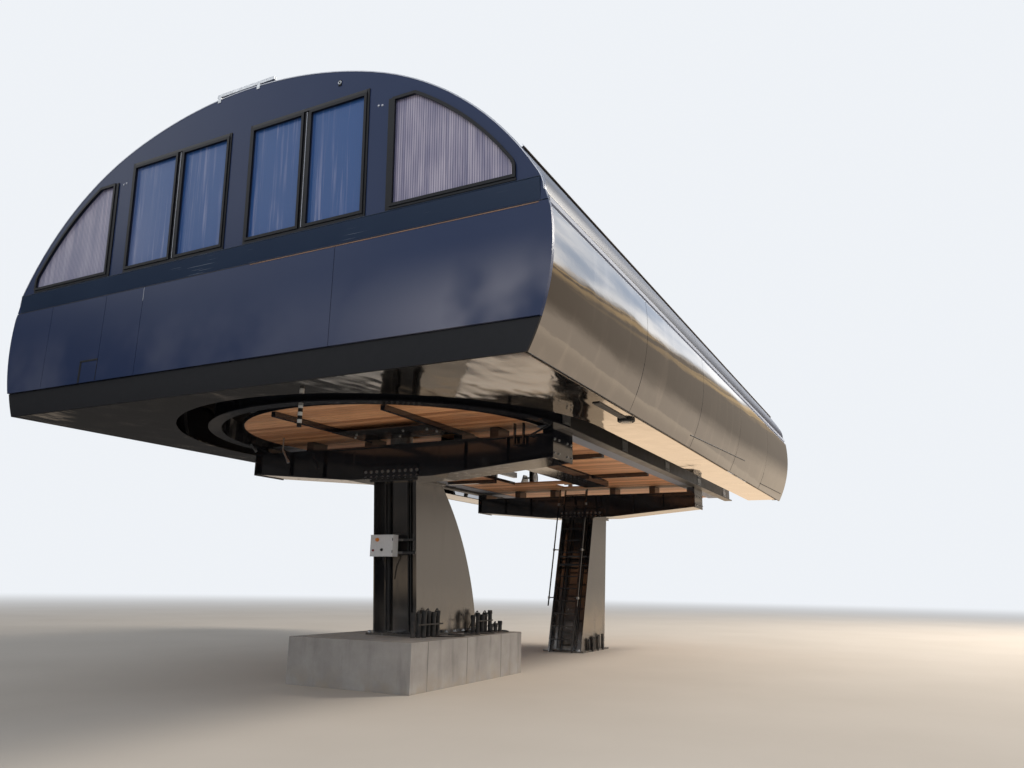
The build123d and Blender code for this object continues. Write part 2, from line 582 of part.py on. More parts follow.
def bullwheel():
    """Big horizontal rope wheel with a lined groove, tapered spokes and hub, on a fixed shaft."""
    flats = SPOKES * 2
    lip = RIM_HALF - GROOVE_HALF
    wheel = extrude(RegularPolygon(BULLWHEEL_R - GROOVE_DEEP, RIM_CHORDS), amount=RIM_HALF, both=True)
    for z in (-RIM_HALF, GROOVE_HALF):
        wheel += Pos(0, 0, z) * extrude(RegularPolygon(BULLWHEEL_R, RIM_CHORDS), amount=lip)
    wheel -= extrude(RegularPolygon(RIM_IN, flats, major_radius=False), amount=2 * RIM_HALF, both=True)
    for number in range(SPOKES):
        blade = make_face(Polyline((300, -85), (RIM_IN + 5, -45), (RIM_IN + 5, 45), (300, 85), close=True))
        turned = Rot(0, 0, number * 360 / SPOKES + 180 / flats)
        wheel += turned * extrude(blade, amount=SPOKE_HALF, both=True)
    wheel += extrude(RegularPolygon(HUB_R, flats), amount=HUB_HALF, both=True)
    wheel -= Cylinder(SHAFT_R + 0.08, 4 * HUB_HALF)
    write("bullwheel", Pos(AXIS_X, 0, BULLWHEEL_Z) * wheel)
    up = (Align.CENTER, Align.CENTER, Align.MIN)
    shaft = Pos(AXIS_X, 0, BEAM_TOP) * Cylinder(SHAFT_R, TIE_FOOT - BEAM_TOP, align=up)
    collar = extrude(RegularPolygon(330, 8), amount=-100)
    shaft += Pos(AXIS_X, 0, BULLWHEEL_Z - HUB_HALF - 6) * collar
    write("bullwheel_shaft", shaft)
    case = block(AXIS_X - 560, AXIS_X + 1900, -420, 420, TIE_FOOT, TIE_FOOT + 620)
    write("drive_block", chamfer(case.edges().group_by(Axis.Z)[-1], 90))
    beams = [block(3408, 6876, sign * 440, sign * 560, TIE_FOOT - 100, TIE_FOOT) for sign in (1, -1)]
    plates = [block(x - 60, x + 60, -440, 440, TIE_FOOT - 60, TIE_FOOT) for x in (5200.0, 6100.0)]
    write("drive_beams", beams[0] + plates[0] + plates[1] + beams[1])


TYRE_R = 240.0
TYRE_WIDE = 110.0
TYRE_Y = 3500.0
TYRE_Z = 4960.0
TYRE_PIN_R = 25.0
TYRE_XS = (6000.0, 10000.0, 14000.0)
TREAD_BLOCKS = 60           # flats round a tyre or a sheave


def wheel_blank(radius, wide, bore):
    """A wheel about the Y axis: rounded by many flats outside, with a round bore."""
    disc = extrude(RegularPolygon(radius, TREAD_BLOCKS), amount=wide / 2, both=True)
    return Rot(90, 0, 0) * (disc - Cylinder(bore, 2 * wide))


def tyre_banks():
    """Tyres that drive the carriers, each on its own axle pin from a beam over the rail."""
    beams = []
    for side, sign in SIDES:
        beam = block(4600, 15100, sign * (POST_MID - 60), sign * (POST_MID + 60), TYRE_Z - 80, TYRE_Z + 80)
        for x in POST_XS:
            beam -= block(x - 50, x + 50, sign * (POST_MID - 40), sign * (POST_MID + 40), 4000, 6000)
        for number, x in enumerate(TYRE_XS, 1):
            start = (x, sign * (POST_MID + 60), TYRE_Z)
            beam += rod(start, (x, sign * (TYRE_Y + 75), TYRE_Z), TYRE_PIN_R)
            wheel = wheel_blank(TYRE_R, TYRE_WIDE, TYRE_PIN_R + 0.05)
            write(f"tyre_{side}_{number}", Pos(x, sign * TYRE_Y, TYRE_Z) * wheel)
        beams.append(beam)
    write("tyre_beams", *beams)


SHEAVE_R = 225.0
SHEAVE_Y = 2780.0
SHEAVE_Z = 4945.0
SHEAVE_X = 15700.0
SHEAVE_WIDE = 80.0
SHEAVE_PIN_R = 30.0


def sheaves():
    """Rope sheaves at the line end, each on a pin from a plate that stands on the rail."""
    plates = []
    for side, sign in SIDES:
        plate = make_face(Polyline(
            (SHEAVE_X - 500, 0, RAIL_TOP), (SHEAVE_X + 500, 0, RAIL_TOP), (SHEAVE_X + 120, 0, SHEAVE_Z + 90),
            (SHEAVE_X - 120, 0, SHEAVE_Z + 90), close=True,
        ))
        plate = Pos(0, sign * RAIL_IN, 0) * extrude(plate, amount=25, dir=(0, sign, 0))
        pin_end = (SHEAVE_X, sign * (SHEAVE_Y - 60), SHEAVE_Z)
        plate += rod((SHEAVE_X, sign * RAIL_IN, SHEAVE_Z), pin_end, SHEAVE_PIN_R)
        plates.append(plate)
        wheel = wheel_blank(SHEAVE_R, SHEAVE_WIDE, SHEAVE_PIN_R + 0.05)
        write(f"sheave_{side}", Pos(SHEAVE_X, sign * SHEAVE_Y, SHEAVE_Z) * wheel)
    write("sheave_plates", *plates)


def bar(start, end, wide, deep):
    """A flat bar between two points in a plane along X: wide across Y, deep in that plane."""
    run = Vector(*end) - Vector(*start)
    plane = Plane(origin=start, x_dir=(0, 1, 0), z_dir=run)
    return plane * Box(wide, deep, run.length, align=(Align.CENTER, Align.CENTER, Align.MIN))


LADDER_FOOT_X = 11460.0
LADDER_HEAD_X = 12520.0
LADDER_HALF = 300.0
RUNG_PITCH = 305.0
RUNG_COUNT = 13


def details():
    """Ladder with its rungs and handrails, and the control box on the front mast."""
    top = RIB_FOOT + 20
    slant = (LADDER_HEAD_X - LADDER_FOOT_X) / top
    ladder = None
    for sign in (1, -1):
        y = sign * LADDER_HALF
        stile = bar((LADDER_FOOT_X, y, 0), (LADDER_HEAD_X, y, top), 24, 70)
        ladder = stile if ladder is None else ladder + stile
        rail_y = sign * (LADDER_HALF + 90)
        low = (LADDER_FOOT_X + slant * 1100 - 160, rail_y, 1100)
        high = (LADDER_HEAD_X - 160, rail_y, top)
        ladder += bar(low, high, 26, 26)
        for z in (1300.0, 2500.0, 3700.0):
            x = LADDER_FOOT_X + slant * z
            ladder += block(x - 170, x, sign * (LADDER_HALF - 6), sign * (LADDER_HALF + 90), z - 12, z + 12)
    for number in range(1, RUNG_COUNT + 1):
        z = number * RUNG_PITCH
        x = LADDER_FOOT_X + slant * z
        ladder += block(x - 14, x + 14, -LADDER_HALF, LADDER_HALF, z - 14, z + 14)
    ladder &= block(10000, 14000, -1000, 1000, 0, RIB_FOOT)
    write("ladder", ladder)
    write("control_box", block(CONTROL_X - 156, CONTROL_X, -80, 394, 2054, 2418))


shell()
end_wall()
line_end()
frames()
rails()
supports()
deck()
soffits()
bullwheel()
tyre_banks()
sheaves()
details()
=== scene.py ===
import math
import random

import bmesh
import bpy
from mathutils import Euler, Matrix, Vector


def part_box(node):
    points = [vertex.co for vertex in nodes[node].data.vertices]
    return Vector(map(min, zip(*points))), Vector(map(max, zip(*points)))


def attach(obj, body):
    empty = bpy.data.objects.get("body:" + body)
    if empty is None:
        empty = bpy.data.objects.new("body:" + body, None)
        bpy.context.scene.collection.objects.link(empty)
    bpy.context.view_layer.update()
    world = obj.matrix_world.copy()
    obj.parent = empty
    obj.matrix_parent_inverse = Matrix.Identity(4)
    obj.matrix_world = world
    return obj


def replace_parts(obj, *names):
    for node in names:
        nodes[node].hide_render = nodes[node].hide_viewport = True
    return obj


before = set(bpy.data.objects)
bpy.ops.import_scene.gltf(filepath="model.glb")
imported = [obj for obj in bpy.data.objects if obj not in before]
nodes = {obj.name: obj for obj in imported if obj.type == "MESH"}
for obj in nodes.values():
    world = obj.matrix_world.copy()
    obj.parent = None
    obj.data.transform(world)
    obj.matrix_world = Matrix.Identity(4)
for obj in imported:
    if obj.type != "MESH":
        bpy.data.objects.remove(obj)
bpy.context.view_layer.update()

# The view. The terminal is seen from in front of its glazed end, a little to the near side,
# from eye height. The lens is that of the photograph.
eye = Vector((-15.849, -8.214, 1.65))
heading, tilt, lean = 27.15, 14.06, 0.94
view_camera = bpy.data.cameras.new("view_camera")
view_camera.sensor_width = 36.0
view_camera.lens = 27.88
view_camera.clip_end = 400.0
camera = bpy.data.objects.new("view_camera", view_camera)
bpy.context.scene.collection.objects.link(camera)
turned = Euler((0, 0, math.radians(heading - 90))).to_matrix()
tilted = Euler((math.radians(90 + tilt), 0, 0)).to_matrix()
rolled = Euler((0, 0, math.radians(lean))).to_matrix()
camera.matrix_world = Matrix.Translation(eye) @ (turned @ tilted @ rolled).to_4x4()
bpy.context.scene.camera = camera
bpy.context.scene.view_settings.view_transform = "Standard"

# The stage. A pale floor that fades into a pale surround, a glowing screen all round that only the glossy
# panels see, with a pale foot under a dark band, which paints the reflections of shaded and sunlit ground,
# and two large soft lamps.
air_colour = (0.86, 0.89, 0.93, 1.0)


class Graph:
    """The node graph of one material, effect or world, with short ways to add to it."""

    def __init__(self, tree, last=None):
        tree.nodes.clear()
        self.tree = tree
        self.end = self.add(last).inputs["Surface"] if last else None

    def add(self, kind, **values):
        """A shader node with inputs set by name, where an underscore stands for a space."""
        item = self.tree.nodes.new("ShaderNode" + kind)
        for name, value in values.items():
            item.inputs[name.replace("_", " ")].default_value = value
        return item

    def feed(self, value, socket):
        """Link a socket, or set a plain number or colour."""
        if isinstance(value, bpy.types.NodeSocket):
            self.tree.links.new(value, socket)
        else:
            socket.default_value = value

    def calc(self, operation, first, second=0.0, clamp=False):
        """A math node on two values. Gives its output socket."""
        item = self.add("Math")
        item.operation = operation
        item.use_clamp = clamp
        self.feed(first, item.inputs[0])
        self.feed(second, item.inputs[1])
        return item.outputs[0]

    def plus(self, first, second, clamp=False):
        """The sum of two values."""
        return self.calc("ADD", first, second, clamp)

    def minus(self, first, second, clamp=False):
        """The difference of two values."""
        return self.calc("SUBTRACT", first, second, clamp)

    def times(self, first, second, clamp=False):
        """The product of two values."""
        return self.calc("MULTIPLY", first, second, clamp)

    def blend(self, share, first, second):
        """Two colours mixed by a share. Gives the mixed colour's socket."""
        item = self.add("Mix")
        item.data_type = "RGBA"
        self.feed(share, item.inputs["Factor"])
        self.feed(first, item.inputs["A"])
        self.feed(second, item.inputs["B"])
        return item.outputs["Result"]

    def mix(self, share, first, second):
        """Two shader nodes mixed by a share. Gives the mixing node."""
        item = self.add("MixShader")
        self.feed(share, item.inputs[0])
        self.feed(first.outputs[0], item.inputs[1])
        self.feed(second.outputs[0], item.inputs[2])
        return item

    def span(self, value, low, high):
        """A smooth step of a value from 0 at low to 1 at high."""
        item = self.add("MapRange", From_Min=low, From_Max=high)
        item.interpolation_type = "SMOOTHSTEP"
        self.feed(value, item.inputs["Value"])
        return item.outputs["Result"]

    def place(self, stretch=(1.0, 1.0, 1.0)):
        """The point on the piece in metres, each axis stretched by a factor, and its axes."""
        source = self.add("TexCoord")
        mapped = self.add("Mapping", Scale=stretch)
        self.feed(source.outputs["Object"], mapped.inputs["Vector"])
        axes = self.add("SeparateXYZ")
        self.feed(source.outputs["Object"], axes.inputs["Vector"])
        return mapped.outputs["Vector"], axes.outputs

    def noise(self, place, scale, detail=3.0, roughness=0.55):
        """A noise value at a place."""
        item = self.add("TexNoise", Scale=scale, Detail=detail, Roughness=roughness)
        self.feed(place, item.inputs["Vector"])
        return item.outputs["Fac"]


def new_material(name):
    """An empty material and its node graph."""
    material = bpy.data.materials.new(name)
    material.use_nodes = True
    return material, Graph(material.node_tree, "OutputMaterial")


def link_mesh(name, shape):
    """An object in the scene from a finished bmesh."""
    mesh = bpy.data.meshes.new(name)
    shape.to_mesh(mesh)
    shape.free()
    item = bpy.data.objects.new(name, mesh)
    bpy.context.scene.collection.objects.link(item)
    return item


def lathe(shape, profile, sides, matrix=None):
    """A turned shape from (radius, height) points, placed by a matrix. A zero radius closes it."""
    rings = []
    for radius, height in profile:
        ring = []
        for step in range(sides if radius else 1):
            turn = math.tau * step / sides
            point = Vector((radius * math.cos(turn), radius * math.sin(turn), height))
            ring.append(shape.verts.new(matrix @ point if matrix else point))
        rings.append(ring)
    for low, high in zip(rings, rings[1:]):
        for step in range(sides):
            corners = [low[step % len(low)], low[(step + 1) % len(low)]]
            corners += [high[(step + 1) % len(high)], high[step % len(high)]]
            shape.faces.new(list(dict.fromkeys(corners)))


around, floor_radius = 96, 90.0
floor_shape = bmesh.new()
bmesh.ops.create_circle(floor_shape, cap_ends=True, segments=around, radius=floor_radius)
floor = link_mesh("floor", floor_shape)
floor.location.z = -0.002
floor_material, graph = new_material("floor_paint")
place, _ = graph.place()
sandy = graph.blend(graph.noise(place, 0.3, 5.0), (0.54, 0.475, 0.40, 1), (0.64, 0.57, 0.49, 1))
floor_shader = graph.add("BsdfPrincipled", Roughness=0.9, Specular_IOR_Level=0.0)
graph.feed(sandy, floor_shader.inputs["Base Color"])
away = graph.add("VectorMath")
away.operation = "LENGTH"
graph.feed(place, away.inputs[0])
path = graph.add("LightPath")
haze = graph.times(graph.span(away.outputs["Value"], 16.0, 80.0), path.outputs["Is Camera Ray"])
far_floor = graph.add("Emission", Color=air_colour)
graph.feed(graph.mix(haze, floor_shader, far_floor).outputs["Shader"], graph.end)
floor.data.materials.append(floor_material)

screen_radius, screen_height, screen_start, screen_foot = 86.0, 44.0, 9.5, 0.02
screen_outline = [(screen_start, screen_foot), (screen_radius, screen_foot), (screen_radius, screen_height)]
screen_shape = bmesh.new()
lathe(screen_shape, screen_outline, around)
screen = link_mesh("screen", screen_shape)
screen_material, graph = new_material("painted_reflection_screen")
place, axes = graph.place()
layers = graph.noise(graph.place((0.35, 0.35, 4.0))[0], 0.10, 5.0)
uneven = graph.noise(place, 0.06, 4.0)

# How high a point is in the band, which is taller to the sides and behind the line end
sideways = graph.calc("MINIMUM", graph.calc("ABSOLUTE", axes["Y"]), 45.0)
far_end = graph.span(axes["X"], 58.0, 84.0)
band_foot, least_height = 8.5, 4.5
band_height = graph.plus(graph.times(sideways, 0.42), least_height)
band_height = graph.plus(band_height, graph.times(far_end, 8.0))
climb = graph.calc("DIVIDE", graph.minus(axes["Z"], band_foot), band_height)
climb = graph.plus(climb, graph.times(graph.minus(uneven, 0.5), 0.5))

# The upright part: pale at its foot, then dark with warm layers near its ragged top
beyond = graph.span(axes["X"], 26.0, 72.0)
aside = graph.blend(beyond, (0.46, 0.39, 0.32, 1), (0.60, 0.51, 0.42, 1))
pale_foot = graph.blend(graph.span(sideways, 10.0, 30.0), (0.80, 0.66, 0.50, 1), aside)
dark_band = graph.blend(far_end, (0.19, 0.150, 0.115, 1), (0.31, 0.265, 0.22, 1))
upright = graph.blend(graph.span(climb, -0.15, 0.30), pale_foot, dark_band)
warm_share = graph.times(graph.span(climb, 0.55, 0.95), graph.span(layers, 0.44, 0.60))
upright = graph.blend(warm_share, upright, (0.82, 0.60, 0.34, 1))
upright = graph.blend(graph.span(axes["X"], -8.0, 22.0), (0.07, 0.066, 0.064, 1), upright)

# The flat part: painted shadow on the ground before the glazed end, painted sunlight towards the line end,
# with bright sunlit patches in the shadow
sunny = graph.span(graph.minus(axes["X"], graph.times(axes["Y"], 0.8)), 0.0, 16.0)
patches = graph.times(graph.span(uneven, 0.56, 0.60), 0.30)
near_lit = graph.blend(beyond, (0.62, 0.52, 0.42, 1), (0.76, 0.64, 0.51, 1))
lit = graph.blend(graph.span(sideways, 6.0, 15.0), (1.05, 0.80, 0.56, 1), near_lit)
flat = graph.blend(graph.calc("MAXIMUM", sunny, patches), (0.030, 0.029, 0.029, 1), lit)
flat_share = graph.span(axes["Z"], 0.6, 0.1)
screen_shader = graph.add("Emission")
graph.feed(graph.blend(flat_share, upright, flat), screen_shader.inputs["Color"])
faded = graph.mix(graph.span(climb, 0.88, 1.05), screen_shader, graph.add("BsdfTransparent"))
graph.feed(faded.outputs["Shader"], graph.end)
screen.data.materials.append(screen_material)
screen.visible_camera = False
screen.visible_diffuse = False
screen.visible_transmission = False
screen.visible_shadow = False

world = bpy.data.worlds.new("surround")
world.use_nodes = True
bpy.context.scene.world = world
graph = Graph(world.node_tree, "OutputWorld")
air_light = graph.add("Background", Color=(0.80, 0.88, 1.0, 1.0), Strength=0.55)
air_seen = graph.add("Background", Color=air_colour, Strength=1.0)
air_mirrored = graph.add("Background")
patchy = graph.noise(graph.add("TexCoord").outputs["Generated"], 3.2, 5.0, 0.5)
bright = graph.blend(graph.span(patchy, 0.36, 0.56), (0.75, 0.88, 1.10, 1), (1.75, 1.77, 1.80, 1))
graph.feed(bright, air_mirrored.inputs["Color"])
path = graph.add("LightPath")
seen = graph.plus(path.outputs["Is Camera Ray"], path.outputs["Is Transmission Ray"], clamp=True)
direct = graph.mix(seen, air_light, air_seen)
surround = graph.mix(path.outputs["Is Glossy Ray"], direct, air_mirrored)
graph.feed(surround.outputs["Shader"], graph.end)


def soft_lamp(name, place, target, size, watts, colour):
    """A square area lamp that looks at a point."""
    data = bpy.data.lights.new(name, "AREA")
    data.shape = "SQUARE"
    data.size = size
    data.energy = watts
    data.color = colour
    lamp = bpy.data.objects.new(name, data)
    lamp.location = place
    lamp.rotation_euler = (Vector(target) - Vector(place)).to_track_quat("-Z", "Y").to_euler()
    bpy.context.scene.collection.objects.link(lamp)


soft_lamp("sun_side", (21.0, -24.0, 24.0), (0, 0, 3.0), 8.0, 14000.0, (1.0, 0.94, 0.86))
soft_lamp("front_fill", (-26.0, -6.0, 14.0), (-4.0, 0, 4.5), 12.0, 900.0, (0.9, 0.95, 1.0))

# The concrete pedestal under the front mast. It was cast in place against plywood forms, so
# its faces show the joints of the sheets, fine pits and water marks, and soil at the foot.


def bump(graph, height, strength, distance):
    """A bump node on a height. Gives its normal's socket."""
    item = graph.add("Bump", Strength=strength, Distance=distance)
    graph.feed(height, item.inputs["Height"])
    return item.outputs["Normal"]


def finish_shader(graph, colour, roughness, normal=None, **values):
    """A principled shader on a material's output, with plain numbers set on its own sockets."""
    shader = graph.add("BsdfPrincipled", **values)
    graph.feed(colour, shader.inputs["Base Color"])
    graph.feed(roughness, shader.inputs["Roughness"])
    if normal:
        graph.feed(normal, shader.inputs["Normal"])
    graph.feed(shader.outputs["BSDF"], graph.end)


def effect(name, inputs, outputs):
    """An empty node group with named inputs (name, kind, value) and outputs (name, kind)."""
    tree = bpy.data.node_groups.new(name, "ShaderNodeTree")
    graph = Graph(tree)
    for label, kind, value in inputs:
        socket = tree.interface.new_socket(label, in_out="INPUT", socket_type="NodeSocket" + kind)
        socket.default_value = value
    for label, kind in outputs:
        tree.interface.new_socket(label, in_out="OUTPUT", socket_type="NodeSocket" + kind)
    start = tree.nodes.new("NodeGroupInput")
    end = tree.nodes.new("NodeGroupOutput")
    return tree, graph, start.outputs, end.inputs


def use(graph, tree, **values):
    """A shared effect placed in a material, with its own values. Gives its mask."""
    item = graph.add("Group")
    item.node_tree = tree
    for name, value in values.items():
        item.inputs[name].default_value = value
    return item.outputs["Mask"]


# Weathering that many of the finishes share. Dust lies on faces that look up and gathers low
# down, up to a height, and run marks are thin noise drawn out downwards.
dust, graph, given, gives = effect(
    "dust",
    [("Amount", "Float", 0.5), ("Reach", "Float", 0.8), ("Scale", "Float", 3.0)],
    [("Mask", "Float")],
)
place, axes = graph.place()
source = graph.add("NewGeometry")
facing = graph.add("SeparateXYZ")
graph.feed(source.outputs["Normal"], facing.inputs["Vector"])
upward = graph.span(facing.outputs["Z"], 0.3, 0.95)
item = graph.add("TexNoise", Detail=4.0)
graph.feed(place, item.inputs["Vector"])
graph.feed(given["Scale"], item.inputs["Scale"])
patchy = graph.span(item.outputs["Fac"], 0.35, 0.7)
height = graph.calc("DIVIDE", axes["Z"], given["Reach"])
low_down = graph.minus(1.0, height, clamp=True)
gathered = graph.plus(upward, low_down, clamp=True)
spread = graph.times(gathered, patchy)
graph.feed(graph.times(spread, given["Amount"], clamp=True), gives["Mask"])

runs, graph, given, gives = effect(
    "runs",
    [("Width", "Float", 14.0), ("Length", "Float", 0.6), ("Low", "Float", 0.5), ("High", "Float", 0.75)],
    [("Mask", "Float")],
)
source = graph.add("TexCoord")
drawn = graph.add("CombineXYZ")
graph.feed(given["Width"], drawn.inputs["X"])
graph.feed(given["Width"], drawn.inputs["Y"])
graph.feed(given["Length"], drawn.inputs["Z"])
stretched = graph.add("VectorMath")
stretched.operation = "MULTIPLY"
graph.feed(source.outputs["Object"], stretched.inputs[0])
graph.feed(drawn.outputs["Vector"], stretched.inputs[1])
item = graph.add("TexNoise", Scale=1.0, Detail=3.0)
graph.feed(stretched.outputs["Vector"], item.inputs["Vector"])
ranged = graph.add("MapRange")
ranged.interpolation_type = "SMOOTHSTEP"
graph.feed(item.outputs["Fac"], ranged.inputs["Value"])
graph.feed(given["Low"], ranged.inputs["From Min"])
graph.feed(given["High"], ranged.inputs["From Max"])
graph.feed(ranged.outputs["Result"], gives["Mask"])


def dress(material, *names):
    """Give CAD nodes their finish."""
    for name in names:
        for slot in nodes[name].material_slots:
            slot.material = material


concrete, graph = new_material("concrete")
place, axes = graph.place()
mottled = graph.noise(place, 2.2, 5.0, 0.6)
pits = graph.noise(place, 55.0, 2.0)
colour = graph.blend(mottled, (0.23, 0.207, 0.185, 1), (0.48, 0.44, 0.40, 1))
sheet = graph.calc("PINGPONG", axes["X"], 0.61)
joint = graph.minus(1.0, graph.span(sheet, 0.004, 0.016))
drips = use(graph, runs, Width=5.0, Length=0.7, Low=0.48, High=0.8)
colour = graph.blend(graph.times(drips, 0.45), colour, (0.12, 0.11, 0.10, 1))
colour = graph.blend(graph.times(joint, 0.6), colour, (0.07, 0.065, 0.06, 1))
soil = use(graph, dust, Amount=0.8, Reach=0.35, Scale=4.0)
colour = graph.blend(soil, colour, (0.36, 0.30, 0.23, 1))
raised = graph.minus(pits, graph.times(joint, 2.0))
normal = bump(graph, raised, 0.5, 0.006)
finish_shader(graph, colour, 0.88, normal)
dress(concrete, "pedestal")

# Masts and cross beams: welded steel boxes in black gloss paint, which mirrors pale streaks
# on its sides. Dust lies on the ledges, and bolt rows join each beam to its mast.
black_paint, graph = new_material("black_paint")
place, _ = graph.place()
mottled = graph.noise(place, 1.3)
colour = graph.blend(mottled, (0.010, 0.011, 0.014, 1), (0.018, 0.019, 0.024, 1))
soil = use(graph, dust, Amount=0.55, Reach=1.2, Scale=2.5)
colour = graph.blend(soil, colour, (0.20, 0.17, 0.13, 1))
streak = use(graph, runs, Width=9.0, Length=0.5, Low=0.5, High=0.8)
rough = graph.plus(0.10, graph.times(streak, 0.12))
rough = graph.plus(rough, graph.times(soil, 0.5))
ripple = graph.noise(place, 0.9, 1.0)
normal = bump(graph, ripple, 0.35, 0.02)
finish_shader(graph, colour, rough, normal, IOR=1.9)
dress(black_paint, "beam_front", "beam_rear", "deck_ribs", "ladder")

mast_paint, graph = new_material("mast_paint")
place, _ = graph.place()
mottled = graph.noise(place, 0.9)
colour = graph.blend(mottled, (0.010, 0.010, 0.012, 1), (0.020, 0.018, 0.017, 1))
soil = use(graph, dust, Amount=0.7, Reach=1.6, Scale=2.0)
colour = graph.blend(soil, colour, (0.17, 0.135, 0.10, 1))
streak = use(graph, runs, Width=7.0, Length=0.4, Low=0.5, High=0.8)
rough = graph.plus(0.12, graph.times(streak, 0.15))
rough = graph.plus(rough, graph.times(soil, 0.4))
normal = bump(graph, graph.noise(place, 0.8, 1.0), 0.25, 0.02)
finish_shader(graph, colour, rough, normal, IOR=2.6)
dress(mast_paint, "mast_front", "mast_rear")


def hex_head(shape, place, out, size, depth):
    """A bolt head with its washer on a surface at a place, pointing out."""
    turn = Vector(out).to_track_quat("Z", "Y").to_matrix().to_4x4()
    here = Matrix.Translation(Vector(place)) @ turn
    washer, head = (size * 1.45, 0.0, depth * 0.25, 12), (size, depth * 0.25, depth, 6)
    for radius, low, high, sides in (washer, head):
        matrix = here @ Matrix.Translation((0, 0, (low + high) / 2))
        bmesh.ops.create_cone(
            shape, cap_ends=True, segments=sides, radius1=radius, radius2=radius * 0.93,
            depth=high - low, matrix=matrix,
        )


def box_into(shape, first, second):
    """A box between two opposite corners, added to a shape."""
    low, high = Vector(map(min, first, second)), Vector(map(max, first, second))
    matrix = Matrix.Translation((low + high) / 2) @ Matrix.Diagonal((*(high - low), 1.0))
    bmesh.ops.create_cube(shape, size=1.0, matrix=matrix)


def piece(name, shape, material, bevel=0.0, body="root"):
    """Turn a shape into a piece that rides on a body, with a finish and rounded edges."""
    bmesh.ops.recalc_face_normals(shape, faces=shape.faces)
    item = link_mesh(name, shape)
    item.data.materials.append(material)
    if bevel:
        rounding = item.modifiers.new("edges", "BEVEL")
        rounding.width = bevel
        rounding.segments = 2
        rounding.limit_method = "ANGLE"
        rounding.angle_limit = math.radians(35)
    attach(item, body)
    return item


galvanised, graph = new_material("galvanised")
place, _ = graph.place()
spangle = graph.add("TexVoronoi", Scale=60.0)
graph.feed(place, spangle.inputs["Vector"])
tone = graph.add("SeparateColor")
graph.feed(spangle.outputs["Color"], tone.inputs["Color"])
colour = graph.blend(tone.outputs["Red"], (0.34, 0.35, 0.36, 1), (0.58, 0.59, 0.60, 1))
rough = graph.plus(0.32, graph.times(tone.outputs["Green"], 0.15))
finish_shader(graph, colour, rough, Metallic=0.85)

bolt_pitch, bolt_count, web_out = 0.121, 10, 0.335
splices = bmesh.new()
for beam in ("beam_front", "beam_rear"):
    low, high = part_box(beam)
    middle = (low[0] + high[0]) / 2
    for side in (-1, 1):
        for row in (3.415, 3.515):
            for number in range(bolt_count):
                y = (number - (bolt_count - 1) / 2) * bolt_pitch - 0.015
                hex_head(splices, (middle + side * web_out, y, row), (side, 0, 0), 0.021, 0.026)
piece("splice_bolts", splices, galvanised)

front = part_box("end_lower_panels")[0][0]


def at(x, y, z):
    """A point from its distance behind the face of the glazed end, across and up."""
    return Vector((front + x, y, z))


front_beam_x, rear_beam_x = 4.33, 13.15
base_bolts = bmesh.new()
for number in range(8):
    for y in (-0.498, 0.498):
        hex_head(base_bolts, at(front_beam_x + number * 0.30, y, 0.779), (0, 0, 1), 0.026, 0.034)
for x in (11.655, 13.375):
    for y in (-0.40, 0.40):
        hex_head(base_bolts, at(x, y, 0.039), (0, 0, 1), 0.034, 0.045)
piece("base_bolts", base_bolts, galvanised)

ear_bolts = bmesh.new()
for middle in (front_beam_x, rear_beam_x):
    for sign in (-1, 1):
        for x in (-0.34, -0.17, 0.17, 0.34):
            for z in (3.66, 3.88):
                hex_head(ear_bolts, at(middle + x, sign * 3.151, z), (0, sign, 0), 0.016, 0.020)
# Six more, unevenly spaced, under the round end of the deck
for x, y in ((3.41, 0.33), (3.39, -0.65), (3.42, -1.10), (3.63, -1.16), (3.62, 0.52), (3.80, -0.30)):
    hex_head(ear_bolts, at(x, y, 4.0845), (0, 0, -1), 0.017, 0.020)
piece("ear_bolts", ear_bolts, galvanised)

# Electrical supply. Plastic conduits come up out of the pedestal and the floor beside each
# mast, tied in bundles, and thinner cables run on up the open recess of the mast.


def mottled_coat(name, low, high, roughness, scale, detail=3.0, relief=(0.1, 0.0006),
                 dusty=None, stretch=(1.0, 1.0, 1.0), dulled=0.0, **values):
    """Paint, rubber or plastic in two tones mixed by noise. Relief is the strength and the
    distance of a bump from that noise, and dulled the roughness that it adds. Dusty is the
    dust's amount, the height up to which it gathers, its scale and its colour."""
    material, graph = new_material(name)
    mottled = graph.noise(graph.place(stretch)[0], scale, detail)
    colour = graph.blend(mottled, low, high)
    if dusty:
        amount, reach, size, tone = dusty
        colour = graph.blend(use(graph, dust, Amount=amount, Reach=reach, Scale=size), colour, tone)
    if dulled:
        roughness = graph.plus(roughness, graph.times(mottled, dulled))
    finish_shader(graph, colour, roughness, relief and bump(graph, mottled, *relief), **values)
    return material


cable_coat = mottled_coat(
    "cable_coat", (0.010, 0.010, 0.011, 1), (0.028, 0.027, 0.026, 1), 0.5, 20.0,
    relief=(0.15, 0.001), dusty=(0.6, 1.3, 9.0, (0.22, 0.18, 0.14, 1)),
)


def tube(shape, points, radius, sides=8):
    """A round bar or hose along a line of points, with closed ends."""
    points = [Vector(point) for point in points]
    rings = []
    side = (points[1] - points[0]).orthogonal()
    for number, point in enumerate(points):
        before = points[max(number - 1, 0)]
        after = points[min(number + 1, len(points) - 1)]
        run = (after - before).normalized()
        side = (side - run * side.dot(run)).normalized()
        other = run.cross(side)
        ring = []
        for step in range(sides):
            turn = math.tau * step / sides
            out = side * math.cos(turn) + other * math.sin(turn)
            ring.append(shape.verts.new(point + out * radius))
        rings.append(ring)
    for low, high in zip(rings, rings[1:]):
        for step in range(sides):
            following = (step + 1) % sides
            shape.faces.new((low[step], low[following], high[following], high[step]))
    shape.faces.new(rings[0][::-1])
    shape.faces.new(rings[-1])


